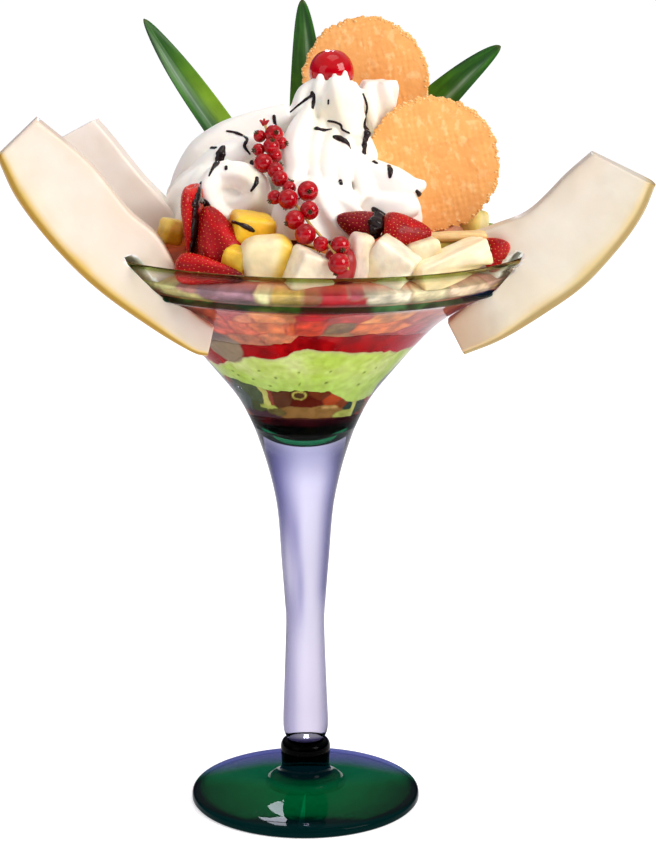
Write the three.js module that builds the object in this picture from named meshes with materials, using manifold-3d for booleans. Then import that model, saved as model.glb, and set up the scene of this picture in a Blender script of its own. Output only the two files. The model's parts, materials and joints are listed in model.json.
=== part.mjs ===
// A mixed fruit cup: a tall stemmed glass with layers of chocolate, fruit and lime cream,
// heaped with cut fruit, whipped cream, wafers, leaves and three melon wedges on its rim.
// Millimetres, +Z up, +Y to the back, origin at the centre of the foot's flat underside.
import * as THREE from 'three';
import { mergeVertices } from 'three/addons/utils/BufferGeometryUtils.js';
import Module from 'manifold-3d';

const wasm = await Module();
wasm.setup();

// Driving dimensions
const FIT_GAP = 0.35;
const RIM_RADIUS = 98;
const RIM_HEIGHT = 250;
const RIM_LEAN = 0.0195;
const RIM_BEAD = 1.5;
const RING_HEIGHT = 236.5;
const RING_BEAD = 2.2;
const HOLLOW_ROUND = 7;
const LEAN_FROM = 205;
const LENS_BOTTOM = 166;
const FOOT_RADIUS = 50.5;
const FOOT_EDGE = 4;
const FOOT_TOP = 27.6;
const STEM_BOTTOM = 28;
const GLASS_SIDES = 28;
const WALL_STEP = 5;
const WALL_GAP = 0.5;
const SPLIT_ROOM = 4.2;
const SPLIT_FROM = 200;
const SPLIT_TOP = 260;
const WEDGE_PIVOT = 85;
const RIND_BULGE = 1.6;
const WAFER_RADIUS = 28;
const WAFER_THICKNESS = 3;
const WAFER_DISH = 0.8;
const CHERRY_RADIUS = 9.4;
const ICING_RADIUS = 1.9;
const LEAF_THICKNESS = 1.1;
const SWELL = 2;
const SMALL_MESH = 60;
const WELDS = [0.6, 0.45, 0.3, 0.2, 0.1, 0.05, 0.02, 0.01];
const EYE = new THREE.Vector3(10, -1050, 420);

const group = new THREE.Group();
const placed = [];

// Small sums used by many pieces

const mix = (a, b, t) => a + (b - a) * t;
const clamp01 = (t) => Math.min(1, Math.max(0, t));
const ease = (a, b, t) => THREE.MathUtils.smoothstep(t, a, b);
const ripple = (x, y, z) => Math.sin(x * 1.7 + y * 0.9) * Math.cos(y * 1.3 - z * 1.1);

function along(stations, t) {
  const last = stations.length - 1;
  const k = Math.max(1, stations.findIndex(([at]) => at >= t));
  const i = t >= stations[last][0] ? last : k;
  const [t0, v0] = stations[i - 1];
  const [t1, v1] = stations[i];
  return mix(v0, v1, clamp01((t - t0) / (t1 - t0)));
}

function turn(degrees) {
  const [x, y, z] = degrees.map((angle) => THREE.MathUtils.degToRad(angle));
  return new THREE.Quaternion().setFromEuler(new THREE.Euler(x, y, z, 'ZYX'));
}

// Closed solids from three.js geometry

function signedVolume(spots, faces) {
  let sum = 0;
  const a = new THREE.Vector3();
  const b = new THREE.Vector3();
  const c = new THREE.Vector3();
  for (let i = 0; i < faces.length; i += 3) {
    a.fromArray(spots, faces[i] * 3);
    b.fromArray(spots, faces[i + 1] * 3);
    c.fromArray(spots, faces[i + 2] * 3);
    sum += a.dot(b.cross(c)) / 6;
  }
  return sum;
}

function toSolid(spots, faces) {
  return new wasm.Manifold(new wasm.Mesh({
    numProp: 3,
    vertProperties: new Float32Array(spots),
    triVerts: new Uint32Array(faces),
  }));
}

function solidOf(geometry, weld = 1e-3) {
  geometry.deleteAttribute('normal');
  geometry.deleteAttribute('uv');
  const merged = mergeVertices(geometry, weld);
  const spots = merged.attributes.position.array;
  const faces = [];
  for (let i = 0; i < merged.index.count; i += 3) {
    const [a, b, c] = [0, 1, 2].map((k) => merged.index.getX(i + k));
    if (a !== b && b !== c && a !== c) faces.push(a, b, c);
  }
  if (signedVolume(spots, faces) < 0) faces.reverse();
  return toSolid(spots, faces);
}

// A turned shape: profile stations [s, t] go round the axis, and place() gives each its spot.
function turned(profile, sides, place) {
  const points = profile.map(([s, t]) => new THREE.Vector2(s, t));
  const geometry = new THREE.LatheGeometry(points, sides);
  const at = geometry.attributes.position;
  for (let i = 0; i < at.count; i += 1) {
    const s = Math.hypot(at.getX(i), at.getZ(i));
    const around = s < 1e-9 ? 0 : Math.atan2(at.getZ(i), at.getX(i));
    at.setXYZ(i, ...place(s, at.getY(i), around));
  }
  return solidOf(geometry);
}

function bodies(solid) {
  const { vertProperties: spots, triVerts: faces } = solid.getMesh();
  const parent = [...Array(spots.length / 3).keys()];
  const root = (i) => {
    let k = i;
    while (parent[k] !== k) k = parent[k];
    parent[i] = k;
    return k;
  };
  for (let i = 0; i < faces.length; i += 3) {
    parent[root(faces[i + 1])] = root(faces[i]);
    parent[root(faces[i + 2])] = root(faces[i]);
  }
  const groups = new Map();
  for (let i = 0; i < faces.length; i += 3) {
    const key = root(faces[i]);
    if (!groups.has(key)) groups.set(key, []);
    groups.get(key).push(faces[i], faces[i + 1], faces[i + 2]);
  }
  return { spots, groups: [...groups.values()] };
}

function compact(spots, faces) {
  const renumbered = new Map();
  const kept = [];
  const tris = faces.map((i) => {
    if (!renumbered.has(i)) {
      renumbered.set(i, renumbered.size);
      kept.push(spots[i * 3], spots[i * 3 + 1], spots[i * 3 + 2]);
    }
    return renumbered.get(i);
  });
  return toSolid(kept, tris);
}

// The largest body that a cut leaves; loose scraps are dropped.
function largest(solid) {
  const { spots, groups } = bodies(solid);
  if (groups.length < 2) return solid;
  const ranked = groups.map((faces) => [signedVolume(spots, faces), faces]);
  ranked.sort((a, b) => b[0] - a[0]);
  return compact(spots, ranked[0][1]);
}

function geometryOf(solid) {
  const { vertProperties, triVerts } = solid.getMesh();
  const geometry = new THREE.BufferGeometry();
  geometry.setAttribute('position', new THREE.BufferAttribute(vertProperties.slice(), 3));
  geometry.setIndex(new THREE.BufferAttribute(triVerts.slice(), 1));
  geometry.computeVertexNormals();
  return geometry;
}

// True when each edge joins just two faces, also where two corners share one spot.
function isClean(solid) {
  const merged = mergeVertices(geometryOf(solid).deleteAttribute('normal'), 2e-3);
  const count = merged.attributes.position.count;
  const edges = new Map();
  for (let i = 0; i < merged.index.count; i += 3) {
    for (let k = 0; k < 3; k += 1) {
      const from = merged.index.getX(i + k);
      const to = merged.index.getX(i + ((k + 1) % 3));
      if (from === to) return false;
      edges.set(from * count + to, (edges.get(from * count + to) ?? 0) + 1);
    }
  }
  return [...edges].every(([key, uses]) => {
    const back = (key % count) * count + Math.floor(key / count);
    return uses === 1 && edges.get(back) === 1;
  });
}

// Welds the slivers that a cut leaves, as coarsely as the solid stays closed.
function welded(solid) {
  if (isClean(solid) && solid.getMesh().triVerts.length < SMALL_MESH * 3) return solid;
  for (const weld of WELDS) {
    try {
      const closed = largest(solidOf(geometryOf(solid), weld));
      if (isClean(closed)) return closed;
    } catch {
      continue;
    }
  }
  return solid;
}

// The same solid swollen along its normals, which leaves air round what it is cut from.
function swollen(solid, by) {
  const geometry = geometryOf(solid);
  const at = geometry.attributes.position;
  const normal = geometry.attributes.normal;
  for (let i = 0; i < at.count; i += 1) {
    at.setXYZ(
      i,
      at.getX(i) + normal.getX(i) * by,
      at.getY(i) + normal.getY(i) * by,
      at.getZ(i) + normal.getZ(i) * by,
    );
  }
  return solidOf(geometry);
}

function boxOf(solid) {
  return new THREE.Box3().setFromArray(solid.getMesh().vertProperties);
}

// Cuts a solid clear of the full forms of the pieces given, where their boxes meet.
function clearOf(solid, pieces, gap = FIT_GAP) {
  let rest = solid;
  for (const { form } of pieces) {
    const near = boxOf(form).expandByScalar(gap * 2);
    if (!near.intersectsBox(boxOf(rest))) continue;
    rest = rest.subtract(swollen(form, gap * SWELL)).subtract(form);
  }
  return largest(rest);
}

const named = (...names) => placed.filter(({ name }) => names.includes(name));

// Adds a piece; its form is what later pieces are cut clear of, and is its plain uncut shape.
function put(name, solid, look, form = solid) {
  const body = welded(solid);
  const geometry = geometryOf(body);
  const centre = boxOf(body).getCenter(new THREE.Vector3()).round();
  geometry.translate(-centre.x, -centre.y, -centre.z);
  const mesh = new THREE.Mesh(geometry, new THREE.MeshStandardMaterial({ metalness: 0, ...look }));
  mesh.name = name;
  mesh.position.copy(centre);
  group.add(mesh);
  placed.push({ name, form });
}

// The glass: green foot and knop, lilac stem, flared clear bowl with a green ring and rim

// Outer radius of the stem and bowl by height: thin stem, trumpet, shallow flare, steeper lip.
const OUTER = [
  [28, 8.5], [34, 9.9], [51, 9.4], [80, 8.5], [92, 9.1], [110, 10.5], [133, 12.3], [150, 15.7], [164, 20],
  [174, 24], [184, 29.5], [195, 38.3], [206, 47.6], [218, 59.2], [228, 73.5], [RING_HEIGHT, 87.5],
  [243, 93], [RIM_HEIGHT, RIM_RADIUS],
];
const outerRadius = (z) => along(OUTER, z);

// Thickness of the bowl's wall by height: thickest where the trumpet opens.
const WALL = [[LENS_BOTTOM, 2.2], [180, 2.4], [190, 4.6], [204, 4.6], [222, 2.6], [RIM_HEIGHT, 2.6]];

function hollowRadius(z) {
  const slope = (outerRadius(z + 1) - outerRadius(z - 1)) / 2;
  const across = along(WALL, z) * Math.sqrt(1 + slope * slope);
  const bottom = Math.sqrt(clamp01((z - LENS_BOTTOM) / HOLLOW_ROUND));
  return Math.max(0, (outerRadius(z) - across) * Math.min(1, bottom));
}

const INNER_HEIGHTS = [LENS_BOTTOM, 167.3, 169.5, 172.5, 180, 185, 190, 197, 206, 217, 226, 234, 246];
const INNER = INNER_HEIGHTS.map((z) => [z, hollowRadius(z)]);
const innerRadius = (z) => along(INNER, z);

// The blown bowl leans a little: its left side stands higher than its right.
const lean = (x, y, z) => [x, y, z - RIM_LEAN * x * ease(LEAN_FROM, RING_HEIGHT, z)];

const roundSpot = (r, z, around) => lean(r * Math.cos(around), r * Math.sin(around), z);

function bead(height, radius, size) {
  const angles = [-60, 0, 60];
  return angles.map((degrees) => {
    const angle = THREE.MathUtils.degToRad(degrees);
    return [radius + size * Math.cos(angle), height + size * Math.sin(angle)];
  });
}

function glassBowl() {
  const below = OUTER.filter(([z]) => z < RING_HEIGHT - 2).map(([z, r]) => [r, z]);
  const ring = bead(RING_HEIGHT, outerRadius(RING_HEIGHT) - 0.6, RING_BEAD);
  const rim = [...bead(RIM_HEIGHT, RIM_RADIUS - 0.8, RIM_BEAD), [RIM_RADIUS - 2.6, RIM_HEIGHT]];
  const profile = [
    [0, STEM_BOTTOM], ...below, ...ring, [outerRadius(243), 243], ...rim,
    ...[...INNER].reverse().map(([z, r]) => [r, z]),
  ];
  return turned(profile, GLASS_SIDES, roundSpot);
}

function glassFoot() {
  const profile = [
    [0, 0], [FOOT_RADIUS - 1.5, 0], [FOOT_RADIUS, 1.4], [FOOT_RADIUS - 0.6, FOOT_EDGE],
    [40, 5.2], [28, 6.2], [19, 7.4], [16.4, 8.8], [15.6, 10.2], [12, 11.4], [10.7, 13.6],
    [10.6, 18.5], [11, 23], [10.2, 25.8], [8.6, FOOT_TOP], [0, FOOT_TOP],
  ];
  return turned(profile, GLASS_SIDES, (r, z, around) => [r * Math.cos(around), r * Math.sin(around), z]);
}

// The bowl's wall with room round it, carried on above the rim: what sits over the rim is split by it.
function bowlWall() {
  const outside = OUTER.filter(([z]) => z > SPLIT_FROM).map(([z, r]) => [r + SPLIT_ROOM, z]);
  const shoulder = SPLIT_TOP - 2;
  const lip = [[RIM_RADIUS + 4.4, shoulder], [RIM_RADIUS + 2.2, SPLIT_TOP], [RIM_RADIUS - 0.5, shoulder]];
  const inside = INNER.filter(([z]) => z > SPLIT_FROM).map(([z, r]) => [r - 0.8, z]).reverse();
  const profile = [...outside, ...lip, ...inside];
  profile.push(profile[0]);
  return turned(profile, GLASS_SIDES, roundSpot);
}

put('glass_foot', glassFoot(), { color: 0x0a5a34, roughness: 0.05 });
put('glass_bowl', glassBowl(), { color: 0xd8dcd6, roughness: 0.05, transparent: true, opacity: 0.45 }, bowlWall());

// The layers: each lies on the last with a wavy face between, out to the bowl's inner wall

// Each face between layers: its heights at the wall by degrees from the bowl's front, and its sag at the centre.
const FACES = {
  poolBottom: { heights: [[-180, LENS_BOTTOM + 1.5], [180, LENS_BOTTOM + 1.5]], sag: 0.6 },
  poolTop: { heights: [[-180, 177.5], [-90, 176.6], [0, 177.8], [90, 176.6], [180, 177.5]], sag: 0 },
  fruitTop: { heights: [[-180, 190], [-90, 194], [0, 191], [90, 186.5], [180, 190]], sag: 0 },
  limeTop: { heights: [[-180, 208], [-90, 205], [0, 212], [90, 208.5], [180, 208]], sag: -1 },
  sauceTop: { heights: [[-180, 218], [-90, 215.5], [0, 220], [90, 217.5], [180, 218]], sag: -2 },
  saladTop: { heights: [[-180, 243.1], [180, 243.1]], sag: -19 },
};

function faceHeight({ heights, sag }, s, around) {
  const fromFront = ((THREE.MathUtils.radToDeg(around) + 450) % 360 + 180) % 360 - 180;
  const height = along(heights, fromFront);
  const centre = heights.reduce((sum, [, at]) => sum + at, 0) / heights.length - sag;
  return mix(centre, height, s * s);
}

function layer(bottom, top, rings) {
  const steps = [...Array(rings + 1).keys()].map((i) => i / rings);
  const wallSteps = Math.max(1, Math.ceil((top.heights[0][1] - bottom.heights[0][1]) / WALL_STEP));
  const wall = [...Array(wallSteps - 1).keys()].map((i) => [1, (i + 1) / wallSteps]);
  const profile = [...steps.map((s) => [s, 0]), ...wall, ...steps.reverse().map((s) => [s, 1])];
  return turned(profile, GLASS_SIDES, (s, side, around) => {
    const low = faceHeight(bottom, 1, around) + FIT_GAP;
    const high = faceHeight(top, 1, around);
    const edge = mix(low, high, side);
    const flat = side === 0 ? faceHeight(bottom, s, around) + FIT_GAP : faceHeight(top, s, around);
    const z = side > 0 && side < 1 ? edge : flat;
    return roundSpot(s * (innerRadius(edge) - WALL_GAP), z, around);
  });
}

put('chocolate_pool', layer(FACES.poolBottom, FACES.poolTop, 2), { color: 0x3c0c0f, roughness: 0.3 });
put('base_fruit', layer(FACES.poolTop, FACES.fruitTop, 3), { color: 0x8a4a28, roughness: 0.45 });
put('lime_cream', layer(FACES.fruitTop, FACES.limeTop, 3), { color: 0xbeda64, roughness: 0.5 });
put('red_sauce', layer(FACES.limeTop, FACES.sauceTop, 3), { color: 0xbe141e, roughness: 0.25 });

// Melon wedges: lofted along the rind, split lengthwise so that the glass wall sits in the split

// Each wedge: rind and inner edges as [x, z] stations in its own upright plane at depth y.
const MELONS = [
  {
    name: 'melon_front_left',
    y: -63,
    thickness: 20,
    yaw: 4,
    rind: [[-119.5, 295], [-111, 277], [-96, 257], [-80, 241], [-60, 226], [-45, 216.4], [-38.6, 214.6]],
    inner: [[-104.5, 309], [-84, 291], [-69, 272], [-58, 262], [-51, 249], [-47, 234.5], [-36, 225]],
  },
  {
    name: 'melon_back_left',
    y: -24,
    thickness: 18,
    yaw: -5,
    rind: [[-107, 292], [-108, 279], [-101, 262], [-88, 243], [-74, 229], [-62, 220], [-58, 218]],
    inner: [[-85, 304], [-78, 296], [-65, 280], [-54, 268], [-46, 254], [-46, 238], [-54, 226]],
  },
  {
    name: 'melon_right',
    y: -36,
    thickness: 20,
    yaw: -3,
    rind: [[141.5, 280], [136.5, 268], [128, 255], [114, 239], [98, 227], [81, 216.4], [66, 210]],
    inner: [[117, 292], [107, 283], [92, 268], [76, 261], [62, 254], [71, 236], [59.4, 222]],
  },
];

function melonWedge({ y, thickness, yaw, rind, inner }) {
  const steps = 9;
  const curve = (stations) => new THREE.CatmullRomCurve3(stations.map(([x, z]) => new THREE.Vector3(x, 0, z)));
  const [outside, inside] = [curve(rind), curve(inner)];
  const geometry = new THREE.BoxGeometry(2, 2, 1, 2, 2, steps);
  const at = geometry.attributes.position;
  const pivot = new THREE.Vector3(Math.sign(rind[0][0]) * WEDGE_PIVOT, y, 0);
  const swing = turn([0, 0, yaw]);
  for (let i = 0; i < at.count; i += 1) {
    const t = at.getZ(i) + 0.5;
    const across = at.getX(i);
    const depth = (at.getY(i) + 1) / 2;
    const spot = outside.getPoint(t).lerp(inside.getPoint(t), depth);
    const rindBulge = depth === 0 && across === 0 ? RIND_BULGE : 0;
    const outward = outside.getPoint(t).sub(inside.getPoint(t)).normalize();
    spot.addScaledVector(outward, rindBulge);
    spot.y = y + across * mix(thickness / 2, thickness / 3.4, depth);
    spot.sub(pivot).applyQuaternion(swing).add(pivot);
    at.setXYZ(i, spot.x, spot.y, spot.z);
  }
  return solidOf(geometry);
}

for (const wedge of MELONS) {
  const whole = melonWedge(wedge);
  const split = largest(whole.subtract(bowlWall()));
  const below = named('red_sauce', 'lime_cream', 'melon_front_left', 'melon_back_left');
  put(wedge.name, clearOf(split, below), { color: 0xf6ead2, roughness: 0.5 }, whole);
}

// The heap of small fruit that fills the bowl to its rim, with pieces pressed up to the wall

function cutPiece({ size, centre, turned: angles, soft = 0.22 }) {
  const geometry = new THREE.BoxGeometry(2, 2, 2, 2, 2, 2);
  const at = geometry.attributes.position;
  const spin = turn(angles);
  const spot = new THREE.Vector3();
  for (let i = 0; i < at.count; i += 1) {
    spot.fromBufferAttribute(at, i);
    const rounding = mix(1, 1.12 / Math.max(1, spot.length()), soft * 2);
    spot.multiplyScalar(rounding);
    spot.multiply(new THREE.Vector3(...size).multiplyScalar(0.5));
    spot.applyQuaternion(spin).add(new THREE.Vector3(...centre));
    at.setXYZ(i, spot.x, spot.y, spot.z);
  }
  return solidOf(geometry);
}

// Pieces fused to the heap fill the gaps at its sides and back, at these angles round the bowl.
const SALAD_PIECES = [-8, 52, 78, 112, 152, 186];

function fruitSalad() {
  let heap = layer(FACES.sauceTop, FACES.saladTop, 3);
  SALAD_PIECES.forEach((degrees, i) => {
    heap = heap.add(cutPiece({
      size: [20, 15, 16],
      centre: roundSpot(70 + 2 * Math.sin(i * 1.9), 247, THREE.MathUtils.degToRad(degrees)),
      turned: [20 * Math.sin(i * 3.1), 18 * Math.cos(i * 1.3), degrees + 90],
    }));
  });
  return heap;
}

const heap = fruitSalad();
const wedges = named(...MELONS.map(({ name }) => name));
put('fruit_salad', clearOf(heap, wedges), { color: 0xe08a4a, roughness: 0.45 }, heap);

// Wafers: thin round biscuits with a crumbled edge, standing in the cream

function wafer({ centre, radius, lean: angles, seed }) {
  const half = WAFER_THICKNESS / 2;
  const profile = [
    [0, -half], [0.45, -half], [0.8, -half], [0.97, -half * 0.8],
    [1, half * 0.3], [0.8, half], [0.45, half], [0, half],
  ];
  const spin = turn(angles);
  return turned(profile, 28, (s, t, around) => {
    const crumb = s > 0.9 ? 1 + 0.018 * Math.sin(around * 11 + seed) + 0.014 * Math.cos(around * 17 + seed * 2) : 1;
    const r = s * radius * crumb;
    const dish = WAFER_DISH * ripple(r * 0.06 * Math.cos(around), r * 0.05 * Math.sin(around), seed);
    const spot = new THREE.Vector3(r * Math.cos(around), r * Math.sin(around), t + dish);
    return spot.applyQuaternion(spin).add(new THREE.Vector3(...centre)).toArray();
  });
}

const WAFERS = [
  { name: 'wafer_front', centre: [54, 2, 282], radius: WAFER_RADIUS, lean: [84, 0, 4], seed: 1 },
  { name: 'wafer_back', centre: [26, 28, 314.5], radius: WAFER_RADIUS - 1.2, lean: [86, 0, -3], seed: 4 },
];

// Leaves: stiff blades folded along the middle, tapering to a spine

const LEAVES = [
  { name: 'leaf_left', base: [-14, 30, 262], tip: [-69, 36, 340], width: 17, bend: [-4, 4, 2], face: [0.5, -1, 0.3] },
  { name: 'leaf_centre', base: [2, 36, 262], tip: [-1, 38, 348], width: 19, bend: [2, 4, 0], face: [-0.2, -1, 0.1] },
  { name: 'leaf_right', base: [26, 38, 266], tip: [84, 36, 328.5], width: 20, bend: [-4, 6, 4], face: [-0.4, -1, 0.2] },
];

function leafBlade({ base, tip, width, bend, face }) {
  const [columns, rows] = [4, 10];
  const start = new THREE.Vector3(...base);
  const end = new THREE.Vector3(...tip);
  const middle = start.clone().lerp(end, 0.5).add(new THREE.Vector3(...bend));
  const spine = new THREE.QuadraticBezierCurve3(start, middle, end);
  const front = new THREE.Vector3(...face).normalize();
  const spotAt = (u, v, side) => {
    const across = new THREE.Vector3().crossVectors(spine.getTangent(v), front).normalize();
    const half = (width / 2) * Math.max(0.04, Math.sqrt(1 - v ** 1.6) * mix(0.86, 1, Math.sin(v * 2.6)));
    const fold = 0.24 * half * Math.abs(u) + 0.5 * Math.sin(v * 9 + u * 2) * Math.abs(u);
    const spot = spine.getPoint(v).addScaledVector(across, u * half);
    return spot.addScaledVector(front, fold + (side * LEAF_THICKNESS) / 2);
  };
  const sheet = new THREE.PlaneGeometry(2, 1, columns, rows);
  const flat = sheet.attributes.position;
  const spots = [];
  for (const side of [1, -1]) {
    for (let i = 0; i < flat.count; i += 1) {
      spots.push(...spotAt(flat.getX(i), flat.getY(i) + 0.5, side).toArray());
    }
  }
  const top = [...sheet.index.array];
  const faces = [...top, ...[...top].reverse().map((i) => i + flat.count)];
  const wide = columns + 1;
  const border = [
    ...[...Array(columns).keys()].map((i) => i),
    ...[...Array(rows).keys()].map((i) => columns + i * wide),
    ...[...Array(columns).keys()].map((i) => rows * wide + columns - i),
    ...[...Array(rows).keys()].map((i) => (rows - i) * wide),
  ];
  border.forEach((a, i) => {
    const b = border[(i + 1) % border.length];
    faces.push(a, b, b + flat.count, a, b + flat.count, a + flat.count);
  });
  if (signedVolume(spots, faces) < 0) faces.reverse();
  return toSolid(spots, faces);
}

// Cherry on the peak

function ball(centre, radius, sides = 14, stacks = 9) {
  const steps = [...Array(stacks + 1).keys()].map((i) => {
    const angle = -Math.PI / 2 + (Math.PI * i) / stacks;
    return [Math.max(0, Math.cos(angle)), Math.sin(angle)];
  });
  steps[0][0] = 0;
  steps[stacks][0] = 0;
  return turned(steps, sides, (s, t, around) => [
    centre[0] + radius * s * Math.cos(around),
    centre[1] + radius * s * Math.sin(around),
    centre[2] + radius * t,
  ]);
}

const CHERRY_AT = [11.5, 5, 320.5];
put('cherry', ball(CHERRY_AT, CHERRY_RADIUS), { color: 0xb8101c, roughness: 0.12 });

// Strawberries: heart-shaped, whole or halved

function strawberry({ centre, length, width, turned: angles, flat = 1 }) {
  const profile = [
    [0, 0], [0.2, 0.03], [0.42, 0.16], [0.68, 0.4], [0.92, 0.66], [1, 0.82], [0.8, 0.96], [0, 0.94],
  ];
  const spin = turn(angles);
  return turned(profile, 12, (s, t, around) => {
    const r = (s * width * (1 + 0.04 * Math.cos(around * 3))) / 2;
    const spot = new THREE.Vector3(r * Math.cos(around), flat * r * Math.sin(around), (0.5 - t) * length);
    return spot.applyQuaternion(spin).add(new THREE.Vector3(...centre)).toArray();
  });
}

const STRAWBERRIES = [
  { name: 'strawberry_slice', centre: [-44, -57, 264.5], length: 33, width: 26, flat: 0.28, turned: [180, 0, 80] },
  { name: 'strawberry_left', centre: [-34.3, -62, 261.6], length: 25, width: 20, turned: [-6, -20, 0] },
  { name: 'strawberry_rim', centre: [-36, -76, 249.6], length: 28, width: 12.5, turned: [0, 96, -20] },
  { name: 'strawberry_dull', centre: [21.5, -56, 265.5], length: 17, width: 14, turned: [20, -70, -15] },
  { name: 'strawberry_bright', centre: [41.6, -58, 262.2], length: 19.5, width: 16.5, turned: [0, 92, 4] },
  { name: 'strawberry_right', centre: [77.3, -45, 251], length: 13, width: 12.5, turned: [20, 190, 0] },
  { name: 'strawberry_back', centre: [-8, 66, 259], length: 28, width: 20, turned: [30, 80, 40] },
  { name: 'strawberry_back_right', centre: [60, 44, 257], length: 26, width: 19, turned: [10, 70, -50] },
];

// Cut fruit on top of the heap, by name, size, place and turn

const YELLOW = 0xf0b41e;
const PALE = 0xf3e3b4;
const LILAC = 0xe6d3cc;
const OLIVE = 0xb9a24a;
const PIECES = [
  { name: 'yellow_chunk', size: [16, 14, 16], centre: [-20.7, -59, 261.6], turned: [10, 8, 18], colour: YELLOW },
  { name: 'yellow_low', size: [10, 10, 14], centre: [-26.3, -72, 251.6], turned: [8, 14, -20], colour: YELLOW },
  { name: 'yellow_small', size: [8, 9, 10], centre: [-53.4, -48, 261.2], turned: [0, 12, 30], colour: YELLOW },
  { name: 'pear_chunk', size: [20, 15, 19], centre: [-13.7, -72, 253.2], turned: [8, -6, 10], soft: 0.4, colour: PALE },
  { name: 'banana_cube', size: [16, 13, 15], centre: [3, -79, 250], turned: [12, 22, 24], colour: PALE },
  { name: 'plum_piece', size: [12, 11, 15], centre: [14.5, -76, 251.5], turned: [0, 10, 0], soft: 0.4, colour: 0x7d1018 },
  { name: 'pear_piece', size: [9, 13, 18], centre: [22.5, -71, 254.5], turned: [0, 8, 12], colour: LILAC },
  { name: 'melon_cube', size: [17, 14, 15], centre: [34.5, -72, 252], turned: [4, 34, -14], colour: PALE },
  { name: 'pear_behind', size: [13, 12, 12], centre: [47.6, -61, 253.8], turned: [0, -12, 20], colour: PALE },
  { name: 'melon_stick', size: [32, 11, 11], centre: [58.6, -64, 250.4], turned: [0, -17, 33], colour: PALE },
  { name: 'pineapple_chunk', size: [20, 12, 10], centre: [63, -46, 254.4], turned: [0, -2, 8], colour: OLIVE },
  { name: 'wafer_strip', size: [22, 5, 3.2], centre: [62, -52, 260], turned: [8, -2, 2], soft: 0.1, colour: 0xd9b07a },
  { name: 'yellow_back', size: [20, 16, 16], centre: [24, 62, 257], turned: [10, 20, 15], colour: YELLOW },
  { name: 'pear_back', size: [20, 17, 16], centre: [-38, 58, 256], turned: [0, 15, -30], soft: 0.4, colour: PALE },
  { name: 'pear_left', size: [20, 15, 15], centre: [-62, 16, 256], turned: [5, -14, 80], colour: PALE },
  { name: 'pineapple_back', size: [18, 13, 14], centre: [70, 12, 254], turned: [0, 10, 70], colour: OLIVE },
  { name: 'yellow_back_left', size: [15, 14, 14], centre: [-60, 42, 254], turned: [0, 20, 50], colour: YELLOW },
];

// Whipped cream: ridged swirls and soft lobes piped into one mass, with chocolate run over it

function swirl({ at, height, shape, ridges = 8, twist = 1, depth = 0.12, sides = 3, sway = [0, 0] }) {
  const profile = [[0, 0], ...shape.map(([t, r]) => [r, t]), [0, 1]];
  return turned(profile, ridges * sides, (s, t, around) => {
    const ridge = 1 + depth * Math.cos(ridges * (around + twist * t));
    const r = s * ridge;
    return [
      at[0] + r * Math.cos(around) + sway[0] * t * t,
      at[1] + r * Math.sin(around) + sway[1] * t * t,
      at[2] + height * t,
    ];
  });
}

function lobe(centre, size, angles = [0, 0, 0], sides = 9, stacks = 5) {
  const spin = turn(angles);
  const steps = [...Array(stacks + 1).keys()].map((i) => {
    const angle = -Math.PI / 2 + (Math.PI * i) / stacks;
    return [i === 0 || i === stacks ? 0 : Math.cos(angle), Math.sin(angle)];
  });
  return turned(steps, sides, (s, t, around) => {
    const spot = new THREE.Vector3(s * size[0] * Math.cos(around), s * size[1] * Math.sin(around), t * size[2]);
    return spot.applyQuaternion(spin).add(new THREE.Vector3(...centre)).toArray();
  });
}

// A curl of piped cream: a ring of ridged tube with a hollow middle, facing forward.
function curl(centre, ringRadius, tube, angles) {
  const spin = turn(angles);
  const round = [...Array(9).keys()].map((i) => {
    const angle = (i / 8) * Math.PI * 2;
    return [2 + Math.cos(angle), Math.sin(angle)];
  });
  return turned(round, 16, (s, t, around) => {
    const thick = tube * (0.8 + 0.35 * Math.sin(around / 2 + 0.6));
    const r = ringRadius + (s - 2) * thick;
    const spot = new THREE.Vector3(r * Math.cos(around), r * Math.sin(around), t * thick);
    return spot.applyQuaternion(spin).add(new THREE.Vector3(...centre)).toArray();
  });
}

// A run of sauce: a tube of even thickness through the points given, with closed ends.
function run(points, radius, sides = 5) {
  const path = new THREE.CatmullRomCurve3(points);
  const section = new THREE.Shape();
  for (let i = 0; i < sides; i += 1) {
    const angle = (i / sides) * Math.PI * 2;
    section[i === 0 ? 'moveTo' : 'lineTo'](radius * Math.cos(angle), radius * Math.sin(angle));
  }
  section.closePath();
  const steps = Math.max(2, Math.round(path.getLength() / 4));
  return solidOf(new THREE.ExtrudeGeometry(section, { steps, bevelEnabled: false, extrudePath: path }));
}

const DOME = [[0, 1], [0.25, 0.97], [0.5, 0.86], [0.72, 0.68], [0.88, 0.44]];
const dome = (radius) => DOME.map(([t, r]) => [t, r * radius]);
const PEAK = [[0, 34], [0.18, 26], [0.36, 20], [0.55, 17], [0.74, 15.4], [0.86, 13.6], [0.95, 9.5]];

const SWIRLS = [
  { at: [11, -2, 257], height: 59, shape: PEAK, ridges: 8, twist: 0.7, depth: 0.13, sides: 4, sway: [0, 5] },
  { at: [-20, 6, 257], height: 43, shape: dome(37), ridges: 8, twist: -0.5, depth: 0.08, sway: [4, 0] },
  { at: [29.5, 14, 262], height: 52, shape: dome(10), ridges: 6, twist: 0.6, depth: 0.16, sway: [2, 0] },
  { at: [16, 32, 257], height: 36, shape: dome(30), ridges: 6, twist: 0.4, depth: 0.1 },
];

const LOBES = [
  { centre: [5, -38, 271], size: [20, 20, 11], turned: [18, 0, 0] },
  { centre: [33.5, -27, 270.5], size: [18, 17, 12], turned: [14, 14, 0] },
  { centre: [-36, -22, 272], size: [20, 22, 15], turned: [10, -12, 0] },
];

// Peaks of cream that lick up round the cherry: degrees from its front, and how high each rises.
const ICING_PEAKS = [[-40, 9], [-8, 11], [24, 12], [150, 7]];

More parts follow.
